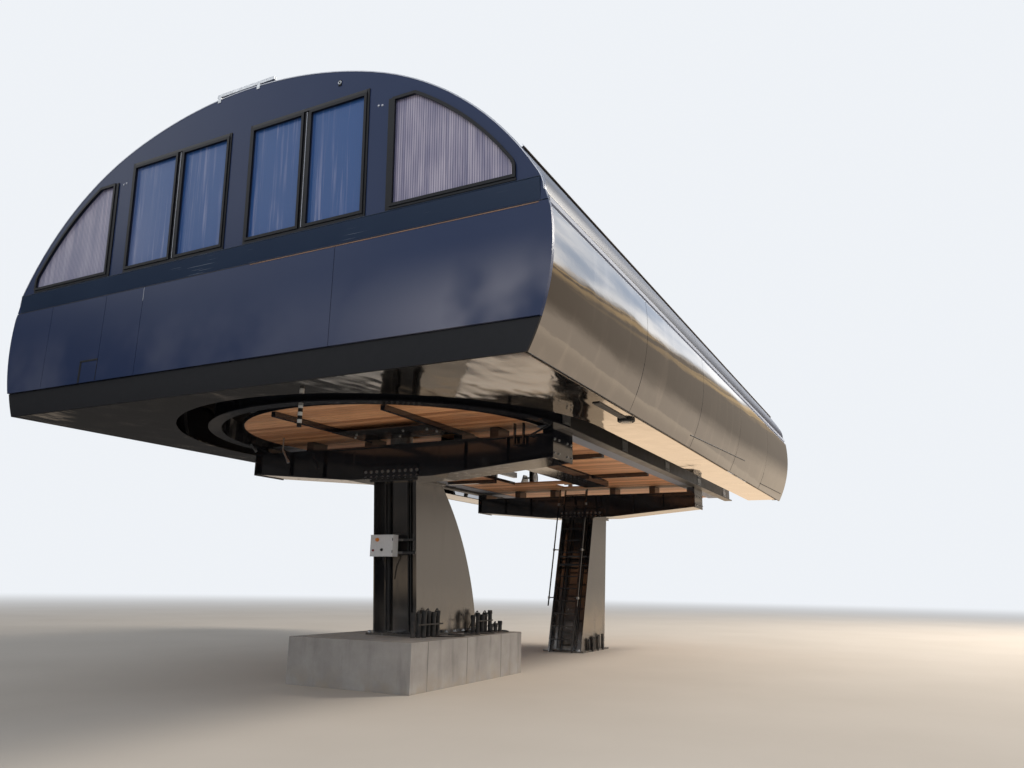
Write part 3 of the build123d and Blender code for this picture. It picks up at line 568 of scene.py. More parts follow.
def bent(points, steps=6):
    """A smooth line through points, for hoses and cables."""
    points = [Vector(point) for point in points]
    guide = [points[0] * 2 - points[1], *points, points[-1] * 2 - points[-2]]
    line = []
    for before, first, second, after in zip(guide, guide[1:], guide[2:], guide[3:]):
        for step in range(steps):
            t = step / steps
            line.append(0.5 * (
                2 * first + (second - before) * t + (2 * before - 5 * first + 4 * second - after) * t * t
                + (3 * first - before - 3 * second + after) * t ** 3
            ))
    return [*line, points[-1]]


dice = random.Random(7)
conduits = bmesh.new()
ties = bmesh.new()
pedestal_top, conduit_pitch, conduit_radius, sleeve_radius = 0.738, 0.098, 0.039, 0.045
# Clusters: x and y of the first conduit, how many, height of the tops
for x0, y0, count, top in ((4.05, -0.58, 8, 1.16), (5.98, -0.62, 6, 1.10), (6.50, -0.72, 3, 0.92)):
    for number in range(count):
        x = x0 + number * conduit_pitch
        y = y0 - 0.045 * (number % 3)
        height = top + dice.uniform(-0.05, 0.05)
        tube(conduits, [at(x, y, pedestal_top), at(x, y, height)], conduit_radius, 12)
        tube(conduits, [at(x, y, height - 0.07), at(x, y, height)], sleeve_radius, 12)
        if number % 3 == 1:
            cable = [at(x, y, height - 0.01), at(x, y + 0.01, height + 0.03)]
            cable += [at(x + 0.01, y + 0.06, height - 0.02), at(x + 0.02, -0.47, 0.80)]
            tube(conduits, bent(cable), 0.010, 6)
    if top > 1.0:
        tie_end = x0 + (count - 1) * conduit_pitch + 0.042
        box_into(ties, at(x0 - 0.042, y0 - 0.136, pedestal_top + 0.20),
                 at(tie_end, y0 - 0.128, pedestal_top + 0.225))
for number in range(6):
    x, y = 12.1 + number * 0.17, -0.50 - 0.04 * (number % 2)
    tube(conduits, [at(x, y, 0.0), at(x, y, 0.30 + 0.02 * number)], 0.034, 12)
for number in range(4):
    x = 4.5 + number * 0.55
    loop = [at(x, -0.70, 0.752), at(x + 0.12, -0.95, 0.754), at(x + 0.42, -1.05, 0.753)]
    loop += [at(x + 0.62, -0.86, 0.755), at(x + 0.50, -0.68, 0.754)]
    tube(conduits, bent(loop), 0.011, 6)
piece("conduits", conduits, cable_coat)
piece("conduit_ties", ties, cable_coat)

risers = bmesh.new()
# Radius and inset of a riser
thin, thick = (0.014, 0.130), (0.030, 0.112)
for y, (radius, inset) in ((0.20, thick), (0.27, thin), (-0.20, thin), (-0.25, thin)):
    tube(risers, [at(4.36 + inset, y, 0.80), at(4.14 + inset, y, 3.34)], radius, 10)
    tube(risers, [at(11.72 + inset, y, 0.06), at(12.60 + inset, y, 3.34)], radius, 10)
piece("mast_risers", risers, cable_coat)

# The walkway deck: hardwood boards across the terminal with narrow gaps, screwed to the steel
# ribs under them. They are cut to the round end, to the well and to the ladder's hatch.
wood, graph = new_material("deck_wood")
place, _ = graph.place()
each = graph.add("NewGeometry")
seed = graph.add("TexWhiteNoise")
seed.noise_dimensions = "1D"
graph.feed(each.outputs["Random Per Island"], seed.inputs["W"])
grain_place, _ = graph.place((22.0, 0.9, 22.0))
shifted = graph.add("VectorMath")
shifted.operation = "MULTIPLY_ADD"
shifted.inputs[1].default_value = (9.0, 9.0, 9.0)
graph.feed(seed.outputs["Color"], shifted.inputs[0])
graph.feed(grain_place, shifted.inputs[2])
grain = graph.noise(shifted.outputs["Vector"], 3.0, 5.0, 0.65)
weather = graph.noise(place, 1.4, 3.0)
colour = graph.blend(seed.outputs["Value"], (0.50, 0.21, 0.092, 1), (0.98, 0.52, 0.265, 1))
dark_grain = graph.times(graph.span(grain, 0.45, 0.75), 0.6)
colour = graph.blend(dark_grain, colour, (0.20, 0.075, 0.030, 1))
grey = graph.times(graph.span(weather, 0.5, 0.8), 0.35)
colour = graph.blend(grey, colour, (0.34, 0.27, 0.21, 1))
normal = bump(graph, grain, 0.4, 0.003)
finish_shader(graph, colour, 0.5, normal)
dress(wood, "deck_front", "deck_sides", "deck_rear", "hatch_lid")


def prism(shape, corners, low, high):
    """An upright prism on corners in plan, given anticlockwise."""
    lower = [shape.verts.new((x, y, low)) for x, y in corners]
    upper = [shape.verts.new((x, y, high)) for x, y in corners]
    shape.faces.new(lower[::-1])
    shape.faces.new(upper)
    for number in range(len(corners)):
        following = (number + 1) % len(corners)
        shape.faces.new((lower[number], lower[following], upper[following], upper[number]))


board_width, board_gap, board_low, board_high = 0.146, 0.013, 4.180, 4.228


def lay_boards(shape, start, end, inner, outer):
    """Boards across the deck between two distances. A gap in the middle is inner wide to each
    side, and outer gives the boards' reach at a distance."""
    count = max(1, round((end - start) / board_width))
    pitch = (end - start) / count
    for number in range(count):
        a = start + number * pitch
        b = a + pitch - board_gap
        reach_a, reach_b = outer(a), outer(b)
        if inner:
            for sign in (1, -1):
                ends = [(a, sign * inner), (b, sign * inner), (b, sign * reach_b), (a, sign * reach_a)]
                prism(shape, [(front + x, y) for x, y in ends[::sign]], board_low, board_high)
        else:
            ends = [(a, -reach_a), (b, -reach_b), (b, reach_b), (a, reach_a)]
            prism(shape, [(front + x, y) for x, y in ends], board_low, board_high)


axis_x, deck_half = 4.3, 2.72
shaft_half, well_start, well_end, well_half = 0.26, 5.10, 11.40, 1.30
hatch_start, hatch_end, hatch_half, deck_end = 11.80, 12.65, 0.40, 16.20


def round_end(x):
    """Reach of the boards at the deck's round end."""
    return math.sqrt(max(0.0, deck_half ** 2 - (x - axis_x) ** 2))


def straight(x):
    """Reach of the boards along the straight part."""
    return deck_half


front_boards = bmesh.new()
lay_boards(front_boards, axis_x - 2.718, axis_x - shaft_half, 0.0, round_end)
lay_boards(front_boards, axis_x - shaft_half, axis_x, shaft_half, round_end)
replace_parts(piece("front_boards", front_boards, wood, 0.003), "deck_front")
side_boards = bmesh.new()
lay_boards(side_boards, axis_x + 0.004, axis_x + shaft_half, shaft_half, straight)
lay_boards(side_boards, axis_x + shaft_half, well_start, 0.0, straight)
lay_boards(side_boards, well_start, well_end, well_half, straight)
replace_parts(piece("side_boards", side_boards, wood, 0.003), "deck_sides")
rear_boards = bmesh.new()
lay_boards(rear_boards, well_end + 0.004, hatch_start, 0.0, straight)
lay_boards(rear_boards, hatch_start, hatch_end, hatch_half, straight)
lay_boards(rear_boards, hatch_end, deck_end, 0.0, straight)
for y in (-0.25, 0.25):
    for sign in (-1, 1):
        box_into(rear_boards, at(12.686, y + sign * 0.04, board_high), at(12.734, y + sign * 0.06, 4.270))
    tube(rear_boards, [at(12.71, y - 0.06, 4.254), at(12.71, y + 0.06, 4.254)], 0.009, 12)
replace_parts(piece("rear_boards", rear_boards, wood, 0.003), "deck_rear")

deck_trim = bmesh.new()
trim_low, trim_high, trim_inner, trim_outer = 4.172, 4.240, 2.722, 2.734
for sign in (-1, 1):
    box_into(deck_trim, at(axis_x, sign * trim_inner, trim_low), at(deck_end, sign * trim_outer, trim_high))
    box_into(deck_trim, at(well_start, sign * 1.288, trim_low), at(well_end, sign * 1.300, trim_high))
arc_steps = 40
outs = [Vector((math.cos(turn), math.sin(turn), 0))
        for turn in [math.pi * (0.5 + number / arc_steps) for number in range(arc_steps + 1)]]
for first, second in zip(outs, outs[1:]):
    ends = [first * trim_inner, first * trim_outer, second * trim_outer, second * trim_inner]
    prism(deck_trim, [(front + axis_x + corner.x, corner.y) for corner in ends], trim_low, trim_high)
piece("deck_trim", deck_trim, black_paint)

# Rails and frames inside the shell: steel boxes and channels that are bolted together. The
# rails are painted dark, the frames grey, and the small brackets are galvanised.
rail_paint = mottled_coat(
    "rail_paint", (0.022, 0.021, 0.021, 1), (0.055, 0.050, 0.048, 1), 0.25, 6.0, 4.0,
    relief=(0.2, 0.003), dulled=0.3, IOR=1.7,
)
dress(rail_paint, "rails_straight")
dress(black_paint, "rail_turn")

frame_paint = mottled_coat(
    "frame_paint", (0.10, 0.105, 0.11, 1), (0.19, 0.19, 0.19, 1), 0.5, 4.0, 4.0,
    relief=(0.15, 0.003), dusty=(0.7, 0.1, 3.0, (0.26, 0.23, 0.19, 1)),
)
dress(frame_paint, "shell_arches", "roof_grid", "purlins", "frame_posts", "drive_beams")
dress(galvanised, "tyre_beams", "sheave_plates", "bullwheel_shaft")

# The shell: navy roof sheets, and bulging side panels in black polished composite, which are
# not quite flat, so that what they mirror is drawn out in long soft bands.
roof_coat, graph = new_material("roof_coat")
place, _ = graph.place()
mottled = graph.noise(place, 0.8, 3.0)
colour = graph.blend(mottled, (0.026, 0.033, 0.055, 1), (0.042, 0.052, 0.080, 1))
soil = use(graph, dust, Amount=0.20, Reach=0.1, Scale=0.7)
colour = graph.blend(soil, colour, (0.17, 0.165, 0.16, 1))
grime = use(graph, runs, Width=4.0, Length=0.5, Low=0.5, High=0.85)
colour = graph.blend(graph.times(grime, 0.18), colour, (0.15, 0.145, 0.14, 1))
rough = graph.plus(0.42, graph.times(soil, 0.4))
finish_shader(graph, colour, rough, Specular_IOR_Level=0.12)
dress(roof_coat, "roof_crown", "roof_shoulder_near", "roof_shoulder_far", "line_end_panel")

mirror_panel, graph = new_material("mirror_panel")
place, _ = graph.place((0.35, 1.0, 1.0))
wave = graph.noise(place, 1.1, 2.0, 0.5)
fine = graph.noise(place, 7.0, 2.0)
smear = use(graph, runs, Width=3.0, Length=0.5, Low=0.5, High=0.85)
rough = graph.plus(0.045, graph.times(smear, 0.07))
height = graph.plus(wave, graph.times(fine, 0.06))
normal = bump(graph, height, 0.5, 0.03)
colour = graph.blend(smear, (0.34, 0.32, 0.30, 1), (0.42, 0.39, 0.36, 1))
finish_shader(graph, colour, rough, normal, Metallic=1.0)
dress(mirror_panel, "side_panels_near", "side_panels_far")

soffit_gloss, graph = new_material("soffit_gloss")
place, _ = graph.place((0.5, 1.0, 1.0))
wave = graph.noise(place, 1.6, 2.0, 0.5)
smear = use(graph, runs, Width=2.0, Length=2.0, Low=0.45, High=0.8)
rough = graph.plus(0.06, graph.times(smear, 0.10))
colour = graph.blend(smear, (0.58, 0.53, 0.47, 1), (0.72, 0.66, 0.58, 1))
finish_shader(graph, colour, rough, bump(graph, wave, 0.5, 0.03), Metallic=1.0)
dress(soffit_gloss, "soffit_front", "soffit_sides")

flashing = mottled_coat(
    "flashing", (0.27, 0.29, 0.34, 1), (0.36, 0.38, 0.44, 1), 0.55, 5.0, 4.0,
    relief=None, stretch=(0.5, 4.0, 4.0), Specular_IOR_Level=0.1,
)
dress(flashing, "gutters", "inner_soffits")
dress(galvanised, "edge_rail")

# The glazed end: navy coated panels, a black skirt, black frames, and panes of ribbed sheet with painted
# reflections in upright streaks, bluer in the middle and mauve at the corners.
navy_panel, graph = new_material("navy_panel")
place, axes = graph.place()
mottled = graph.noise(place, 0.55, 3.0)
# Painted reflection of clouds: a pale sheen low on the panels, strongest towards the near side
low_reflection = graph.minus(1.0, graph.span(axes["Z"], 4.6, 5.6))
cloud_reflection = graph.times(low_reflection, graph.span(mottled, 0.38, 0.62))
colour = graph.blend(mottled, (0.019, 0.032, 0.082, 1), (0.028, 0.044, 0.101, 1))
right = graph.minus(1.0, graph.span(axes["Y"], -4.6, -1.6))
painted_sheen = graph.times(cloud_reflection, graph.plus(0.18, graph.times(right, 0.62)))
colour = graph.blend(painted_sheen, colour, (0.26, 0.255, 0.30, 1))
ripple = graph.noise(place, 1.4, 1.0)
normal = bump(graph, ripple, 0.25, 0.01)
finish_shader(graph, colour, 0.24, normal, Specular_IOR_Level=0.16)
dress(navy_panel, "end_window_panel", "end_lower_panels")

black_trim = mottled_coat(
    "black_trim", (0.004, 0.0045, 0.006, 1), (0.009, 0.009, 0.011, 1), 0.42, 9.0,
    relief=(0.1, 0.001), Specular_IOR_Level=0.2,
)
dress(black_trim, "window_frames", "end_skirt")


def pane_sheet(name, deep, pale, pale_low, pale_high, rib):
    """Ribbed glazing with painted reflections: streaks between a deep and a pale tone, and a pale haze
    towards the sill on one side.
    """
    material, graph = new_material(name)
    place, axes = graph.place((1.0, 9.0, 0.35))
    # Painted reflection: upright streaks between the deep and the pale tone
    reflected_streaks = graph.noise(place, 1.6, 4.0, 0.6)
    broad_place, _ = graph.place((1.0, 1.2, 0.5))
    broad = graph.noise(broad_place, 1.3, 2.0)
    share = graph.span(reflected_streaks, pale_low, pale_high)
    share = graph.times(share, graph.span(broad, 0.30, 0.62))
    colour = graph.blend(share, deep, pale)
    # Painted reflection: a pale haze that grows across the panes to one side and fades upwards
    side_reflection = graph.times(graph.span(axes["Y"], 1.0, 3.4), 0.42)
    low_part = graph.minus(1.0, graph.times(graph.span(axes["Z"], 6.3, 7.5), 0.7))
    colour = graph.blend(graph.times(side_reflection, low_part), colour, (0.50, 0.49, 0.60, 1))
    rib_pitch = 0.034
    lines = graph.calc("FRACT", graph.calc("DIVIDE", axes["Y"], rib_pitch))
    line = graph.minus(1.0, graph.span(lines, 0.18, 0.34))
    colour = graph.blend(graph.times(line, rib), colour, (0.05, 0.055, 0.13, 1))
    normal = bump(graph, line, 0.2, 0.004)
    finish_shader(graph, colour, 0.22, normal, Specular_IOR_Level=0.25)
    return material


pane_blue = pane_sheet("pane_blue", (0.036, 0.098, 0.27, 1), (0.26, 0.28, 0.44, 1), 0.48, 0.76, 0.12)
pane_mauve = pane_sheet("pane_mauve", (0.20, 0.185, 0.28, 1), (0.52, 0.46, 0.54, 1), 0.30, 0.62, 0.75)
dress(pane_blue, "panes_middle")
dress(pane_mauve, "panes_corner")

# Trim of the glazed end. A folded strip under the sill catches other light than the panels,
# black bars close the gaps between the frames, and thin pale profiles end the ribbed sheet.
sill_coat, graph = new_material("sill_coat")
place, _ = graph.place()
mottled = graph.noise(place, 1.2, 3.0)
colour = graph.blend(mottled, (0.014, 0.027, 0.058, 1), (0.022, 0.038, 0.074, 1))
drawn, _ = graph.place((1.0, 0.55, 60.0))
scratch = graph.span(graph.noise(drawn, 2.0, 2.0, 0.4), 0.69, 0.72)
patch = graph.span(graph.noise(place, 0.9, 1.0), 0.50, 0.60)
scratch = graph.times(scratch, patch)
colour = graph.blend(graph.times(scratch, 0.7), colour, (0.30, 0.33, 0.38, 1))
finish_shader(graph, colour, 0.28, Specular_IOR_Level=0.16)

pale_trim = mottled_coat(
    "pale_trim", (0.34, 0.35, 0.39, 1), (0.50, 0.51, 0.55, 1), 0.35, 40.0, 2.0,
    relief=None, Metallic=0.5, Specular_IOR_Level=0.3,
)
bronze_trim = mottled_coat(
    "bronze_trim", (0.05, 0.03, 0.022, 1), (0.34, 0.18, 0.10, 1), 0.4, 3.0, 4.0,
    relief=None, stretch=(1.0, 0.6, 4.0), Metallic=0.4,
)

seam_z, lean_slope = 5.84, math.tan(math.radians(2.0))


def on_panel(y, z, out):
    """A point on the leaning window panel, standing out of its face."""
    return Vector((front - max(0.0, z - seam_z) * lean_slope - out, y, z))


def bar_on_panel(shape, y0, y1, z0, z1, out_low, out_high=None, sunk=0.004):
    """A bar on the end wall, with its own proudness at its lower and its upper edge."""
    y0, y1 = sorted((y0, y1))
    out_high = out_low if out_high is None else out_high
    eight = [on_panel(y0, z0, out_low), on_panel(y1, z0, out_low), on_panel(y1, z1, out_high),
             on_panel(y0, z1, out_high), on_panel(y0, z0, -sunk), on_panel(y1, z0, -sunk),
             on_panel(y1, z1, -sunk), on_panel(y0, z1, -sunk)]
    made_verts = [shape.verts.new(point) for point in eight]
    for face in ((0, 3, 2, 1), (4, 5, 6, 7), (0, 1, 5, 4), (1, 2, 6, 5), (2, 3, 7, 6), (3, 0, 4, 7)):
        shape.faces.new([made_verts[number] for number in face])


strip_half = 4.742
sill = bmesh.new()
bar_on_panel(sill, -strip_half, strip_half, 5.853, 6.118, 0.003, 0.026)
bar_on_panel(sill, -strip_half, strip_half, 6.124, 6.134, 0.026)
piece("sill_strip", sill, sill_coat, 0.002)

bars = bmesh.new()
bars_low, bars_high = 6.138, 7.950
# Bars of each half: from y to y, from z to z, and how far out, below and above if that differs
half_bars = (
    (1.181, 1.274, 6.190, 7.895, 0.010),
    (0.222, 2.248, 7.901, bars_high, 0.022, 0.014),
    (0.222, 2.248, bars_low, 6.183, 0.018),
    (2.250, 2.285, bars_low, bars_high, 0.016),
    (0.185, 0.220, bars_low, bars_high, 0.016),
    (2.600, 2.664, bars_low, 7.700, 0.018),
    (2.600, 4.440, 6.146, 6.184, 0.018),
)
for sign in (-1, 1):
    for y0, y1, z0, z1, *outs in half_bars:
        bar_on_panel(bars, sign * y0, sign * y1, z0, z1, *outs)
# Joints under the window panel and between the lower ones, a small flap's rim, the eye's plate
lower_foot = 4.484
bar_on_panel(bars, -4.77, 4.77, 5.8335, 5.8465, 0.001, sunk=0.05)
for y in (3.9, 2.6, 1.76, -1.82):
    bar_on_panel(bars, y - 0.0035, y + 0.0035, lower_foot, 5.832, -0.004, sunk=0.05)
bar_on_panel(bars, 2.60, 2.610, lower_foot, 4.82, 0.002)
bar_on_panel(bars, 2.965, 3.010, lower_foot, 4.82, 0.003)
bar_on_panel(bars, 2.60, 3.010, 4.80, 4.832, 0.003)
bar_on_panel(bars, -1.795, -1.745, 8.14, 8.22, 0.012)
piece("end_bars", bars, black_trim, 0.002)

profiles = bmesh.new()
for sign in (-1, 1):
    for start, end in ((0.252, 1.148), (1.307, 2.218), (2.697, 4.403)):
        bar_on_panel(profiles, sign * start, sign * end, 6.219, 6.236, -0.003, sunk=0.021)
    bar_on_panel(profiles, sign * 1.224, sign * 1.231, 6.20, 7.89, 0.014)
bar_on_panel(profiles, 1.757, 1.763, 5.62, 5.826, 0.003)
for y, z in ((-2.43, 7.66), (-2.49, 7.65), (2.43, 7.66), (2.49, 7.65)):
    hex_head(profiles, on_panel(y, z, -0.001), (-1, 0, 0), 0.012, 0.010)
piece("pane_profiles", profiles, pale_trim)

seam_lip = bmesh.new()
bar_on_panel(seam_lip, -4.72, -0.35, 5.818, 5.830, 0.004)
piece("seam_lip", seam_lip, bronze_trim)

eye_pad = bmesh.new()
ring = [on_panel(-1.77 + 0.022 * math.cos(turn), 8.185 + 0.022 * math.sin(turn), 0.012)
        for turn in [number * math.tau / 16 for number in range(17)]]
tube(eye_pad, ring, 0.006, 6)
piece("eye_pad", eye_pad, galvanised)

# Trims that follow the roof's edge: a pale strip on the leaning panel's rim, black joints between the roof
# sheets and the line end's panels, and on each shoulder a seam with a pale cap over a black rib that paints
# the seam's shaded side.
crown_half, edge_steps = 2.30, 14
# Arcs of the section: middle's y and z, radius, first and last turn from upright
section_arcs = (
    (0.0, 1.66, 6.94, 0.0, 0.3378),
    (0.7820, 3.8871, 4.58, 0.3378, 1.0402),
    (4.3356, 5.9715, 0.46, 1.0402, 1.5708),
)


def outline():
    """Points and outward directions along the roof's edge, from one gutter over to the other."""
    half = []
    for middle_y, middle_z, radius, start, end in section_arcs:
        for step in range(edge_steps):
            turn = start + (end - start) * step / edge_steps
            out = Vector((0, math.sin(turn), math.cos(turn)))
            half.append((Vector((0, middle_y, middle_z)) + out * radius, out))
    half.append((Vector((0, middle_y + radius, middle_z)), Vector((0, 1, 0))))
    other = [(Vector((0, -point.y, point.z)), Vector((0, -out.y, out.z))) for point, out in half[:0:-1]]
    return other + half


def edge_strip(shape, inner, outer, x_low, x_high, leaning):
    """A thin strip along the roof's edge, between two insets and two distances."""
    before = None
    for point, out in outline():
        shift = (point.z - seam_z) * lean_slope if leaning else 0.0
        four = [shape.verts.new(Vector((front + x - shift, 0, 0)) + point - out * inset)
                for x, inset in ((x_low, inner), (x_high, inner), (x_high, outer), (x_low, outer))]
        if before:
            for number in range(4):
                following = (number + 1) % 4
                shape.faces.new((before[number], before[following], four[following], four[number]))
        else:
            shape.faces.new(four[::-1])
        before = four
    shape.faces.new(before)


roof_edge = bmesh.new()
edge_strip(roof_edge, 0.016, 0.003, -0.004, 0.006, True)
piece("roof_edge", roof_edge, pale_trim)
roof_joint = bmesh.new()
edge_strip(roof_joint, 0.034, 0.006, 6.833, 6.849, False)
edge_strip(roof_joint, 0.034, 0.004, 16.955, 16.975, False)
piece("roof_joints", roof_joint, black_trim)


def roof_height(y):
    """Height of the roof's outside over a distance from the middle."""
    middle_y, middle_z, radius, _, _ = section_arcs[0 if abs(y) < crown_half else 1]
    return middle_z + math.sqrt(radius ** 2 - (abs(y) - middle_y) ** 2)


line_end = bmesh.new()
panel_low, panel_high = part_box("line_end_panel")
for y in (-3.30, -1.10, 1.10, 3.30):
    box_into(line_end, (panel_high[0] - 0.006, y - 0.014, panel_low[2] + 0.03),
             (panel_high[0] + 0.004, y + 0.014, roof_height(y) - 0.09))
piece("line_end_joints", line_end, black_trim)


rib_start, rib_end = 0.08, 16.97


def shoulder_rib(shape, turn, half_width, low, high):
    """A lengthwise rib on both shoulders, at an angle from upright, between two heights."""
    middle_y, middle_z, radius, _, _ = section_arcs[1]
    for sign in (-1, 1):
        out = Vector((0, sign * math.sin(turn), math.cos(turn)))
        along = Vector((0, sign * math.cos(turn), -math.sin(turn)))
        foot = Vector((0, sign * middle_y, middle_z)) + out * radius
        four = [foot + along * side * half_width + out * rise
                for side, rise in ((-1, low), (1, low), (1, high), (-1, high))]
        near_end = [shape.verts.new(point + Vector((front + rib_start, 0, 0))) for point in four]
        far_end = [shape.verts.new(point + Vector((front + rib_end, 0, 0))) for point in four]
        for number in range(4):
            following = (number + 1) % 4
            shape.faces.new((near_end[number], near_end[following], far_end[following], far_end[number]))
        shape.faces.new(near_end[::-1])
        shape.faces.new(far_end)


# The black rib under each pale cap is painted shade of the seam's side
seam_shade_ribs, seam_caps = bmesh.new(), bmesh.new()
shoulder_rib(seam_shade_ribs, 0.935, 0.020, -0.010, 0.026)
shoulder_rib(seam_caps, 0.930, 0.024, 0.026, 0.032)
piece("seam_shade_ribs", seam_shade_ribs, black_trim)
piece("seam_caps", seam_caps, pale_trim)

# Trims along the near and the far side: a black strip under the roof's edge over the gutter, which paints
# the shade in the gap there, gaskets in the joints of the side panels, the lower edge's rim, and the slits
# of two long service flaps.
bulge_y, bulge_z, bulge_radius = 2.13, 5.37, 2.76


def flank(z):
    """Distance of the bulging side from the middle at a height."""
    return bulge_y + math.sqrt(bulge_radius ** 2 - (z - bulge_z) ** 2)


def flank_line(x_low, x_high, z_low, z_high, steps, sign, inset):
    """Points along the bulging side, a little inside its face."""
    points = []
    for number in range(steps + 1):
        z = z_low + number * (z_high - z_low) / steps
        points.append(at(x_low + number * (x_high - x_low) / steps, sign * (flank(z) - inset), z))
    return points


side_trim = bmesh.new()
rim_z, joint_low, joint_high = 4.093, 4.094, 5.748
# Joints: distance from the glazed end, and from which to which height a thick gasket shows
joints = ((3.453, 4.34, 4.80), (6.841, 4.12, 5.15), (10.229, 4.12, 4.50), (13.617, 4.12, 4.50))
# Slits of the flaps: from x to x, from z to z
slits = ((6.60, 11.20, 4.28, 4.46), (13.60, 16.70, 4.22, 4.28))
for sign in (-1, 1):
    # A black strip just under the roof's edge: painted shade of the gap between roof and gutter
    box_into(side_trim, at(0.065, sign * 4.770, 5.9475), at(16.99, sign * 4.797, 5.9695))
    for x, gasket_low, gasket_high in joints:
        tube(side_trim, flank_line(x, x, joint_low, joint_high, 12, sign, 0.012), 0.008, 6)
        tube(side_trim, flank_line(x, x, gasket_low, gasket_high, 8, sign, 0.007), 0.010, 6)
    y = sign * (flank(rim_z) - 0.020)
    box_into(side_trim, at(0.07, y, rim_z - 0.002), at(16.98, y + sign * 0.022, rim_z + 0.014))
    for slit in slits:
        tube(side_trim, flank_line(*slit, 12, sign, 0.004), 0.012, 8)
piece("side_trim", side_trim, black_trim)

# The drive: bullwheel in grey paint with a black liner in its groove, and bolts on its hub
# and rim. Over it stands the gearbox, a ribbed casting with a motor and a brake on top.
wheel_paint = mottled_coat(
    "wheel_paint", (0.20, 0.20, 0.21, 1), (0.34, 0.34, 0.35, 1), 0.45, 5.0, 4.0,
    relief=(0.15, 0.002), dusty=(0.5, 0.1, 3.0, (0.12, 0.10, 0.08, 1)),
)
dress(wheel_paint, "bullwheel")

rubber = mottled_coat(
    "rubber", (0.012, 0.012, 0.012, 1), (0.035, 0.034, 0.033, 1), 0.75, 14.0, 4.0, relief=(0.3, 0.002)
)

wheel_low, wheel_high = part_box("bullwheel")
hub = Vector(((wheel_low[0] + wheel_high[0]) / 2, 0.0, (wheel_low[2] + wheel_high[2]) / 2))
liner = bmesh.new()
groove = [(2.772, -0.029), (2.812, -0.029), (2.795, -0.012), (2.790, 0.0), (2.795, 0.012)]
lathe(liner, [*groove, (2.812, 0.029), (2.772, 0.029), groove[0]], 100, Matrix.Translation(hub))
bmesh.ops.remove_doubles(liner, verts=liner.verts, dist=0.0001)
piece("wheel_liner", liner, rubber, 0.0, "bullwheel")
hub_bolts = bmesh.new()
hub_reach, hub_face, rim_reaches, rim_face = 0.33, 0.124, (2.655, 2.715), 0.084
for side in (-1, 1):
    for number in range(16):
        turn = number * math.tau / 16
        out = Vector((math.cos(turn), math.sin(turn), 0)) * hub_reach
        hex_head(hub_bolts, hub + out + Vector((0, 0, side * hub_face)), (0, 0, side), 0.018, 0.024)
    for number in range(10):
        turn = (number + 0.5) * math.tau / 10
        for reach in rim_reaches:
            out = Vector((math.cos(turn), math.sin(turn), 0)) * reach
            hex_head(hub_bolts, hub + out + Vector((0, 0, side * rim_face)), (0, 0, side), 0.013, 0.016)
piece("hub_bolts", hub_bolts, galvanised, 0.0, "bullwheel")

machine_paint = mottled_coat(
    "machine_paint", (0.02, 0.05, 0.13, 1), (0.04, 0.09, 0.20, 1), 0.4, 5.0, 4.0,
    relief=(0.15, 0.002), dusty=(0.6, 0.1, 3.0, (0.16, 0.14, 0.11, 1)),
)
dress(machine_paint, "drive_block")
block_low, block_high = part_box("drive_block")
casing = bmesh.new()
for number in range(14):
    x = block_low[0] + 0.12 + number * 0.085
    for sign in (-1, 1):
        box_into(casing, (x, sign * 0.415, block_low[2] + 0.06),
                 (x + 0.018, sign * 0.455, block_high[2] - 0.14))
along = Matrix.Translation((block_high[0] - 0.62, 0, block_high[2] + 0.17))
along = along @ Matrix.Rotation(math.pi / 2, 4, "Y")
motor = [(0.0, -0.50), (0.12, -0.50), (0.17, -0.46), (0.20, -0.46), (0.20, 0.34), (0.165, 0.36)]
lathe(casing, [*motor, (0.165, 0.46), (0.0, 0.46)], 32, along)
fin_size = Matrix.Diagonal((0.045, 0.008, 0.72, 1))
for number in range(20):
    fin = Matrix.Rotation(number * math.tau / 20, 4, "Z") @ Matrix.Translation((0.215, 0, -0.06))
    bmesh.ops.create_cube(casing, size=1.0, matrix=along @ fin @ fin_size)
foot_low = (block_high[0] - 0.98, -0.16, block_high[2] - 0.01)
box_into(casing, foot_low, (block_high[0] - 0.30, 0.16, block_high[2] + 0.03))
brake = [(0.0, 0.0), (0.26, 0.0), (0.26, 0.05), (0.18, 0.08), (0.18, 0.22), (0.0, 0.22)]
lathe(casing, brake, 32, Matrix.Translation((block_low[0] + 0.56, 0, block_high[2] - 0.01)))
piece("drive_casing", casing, machine_paint, 0.004)
covers = bmesh.new()
for sign in (-1, 1):
    for x in (block_low[0] + 1.50, block_low[0] + 2.00):
        box_into(covers, (x, sign * 0.418, block_low[2] + 0.10),
                 (x + 0.34, sign * 0.430, block_low[2] + 0.42))
        for dx in (0.03, 0.17, 0.31):
            for z in (0.13, 0.39):
                hex_head(covers, (x + dx, sign * 0.4295, block_low[2] + z), (0, sign, 0), 0.010, 0.012)
piece("drive_covers", covers, galvanised, 0.002)

# Drive tyres and sheaves. Each tyre has a tread and a pressed steel disc with its wheel nuts,
# and turns with its own body. A sheave is of rubber with the same discs on its sides.


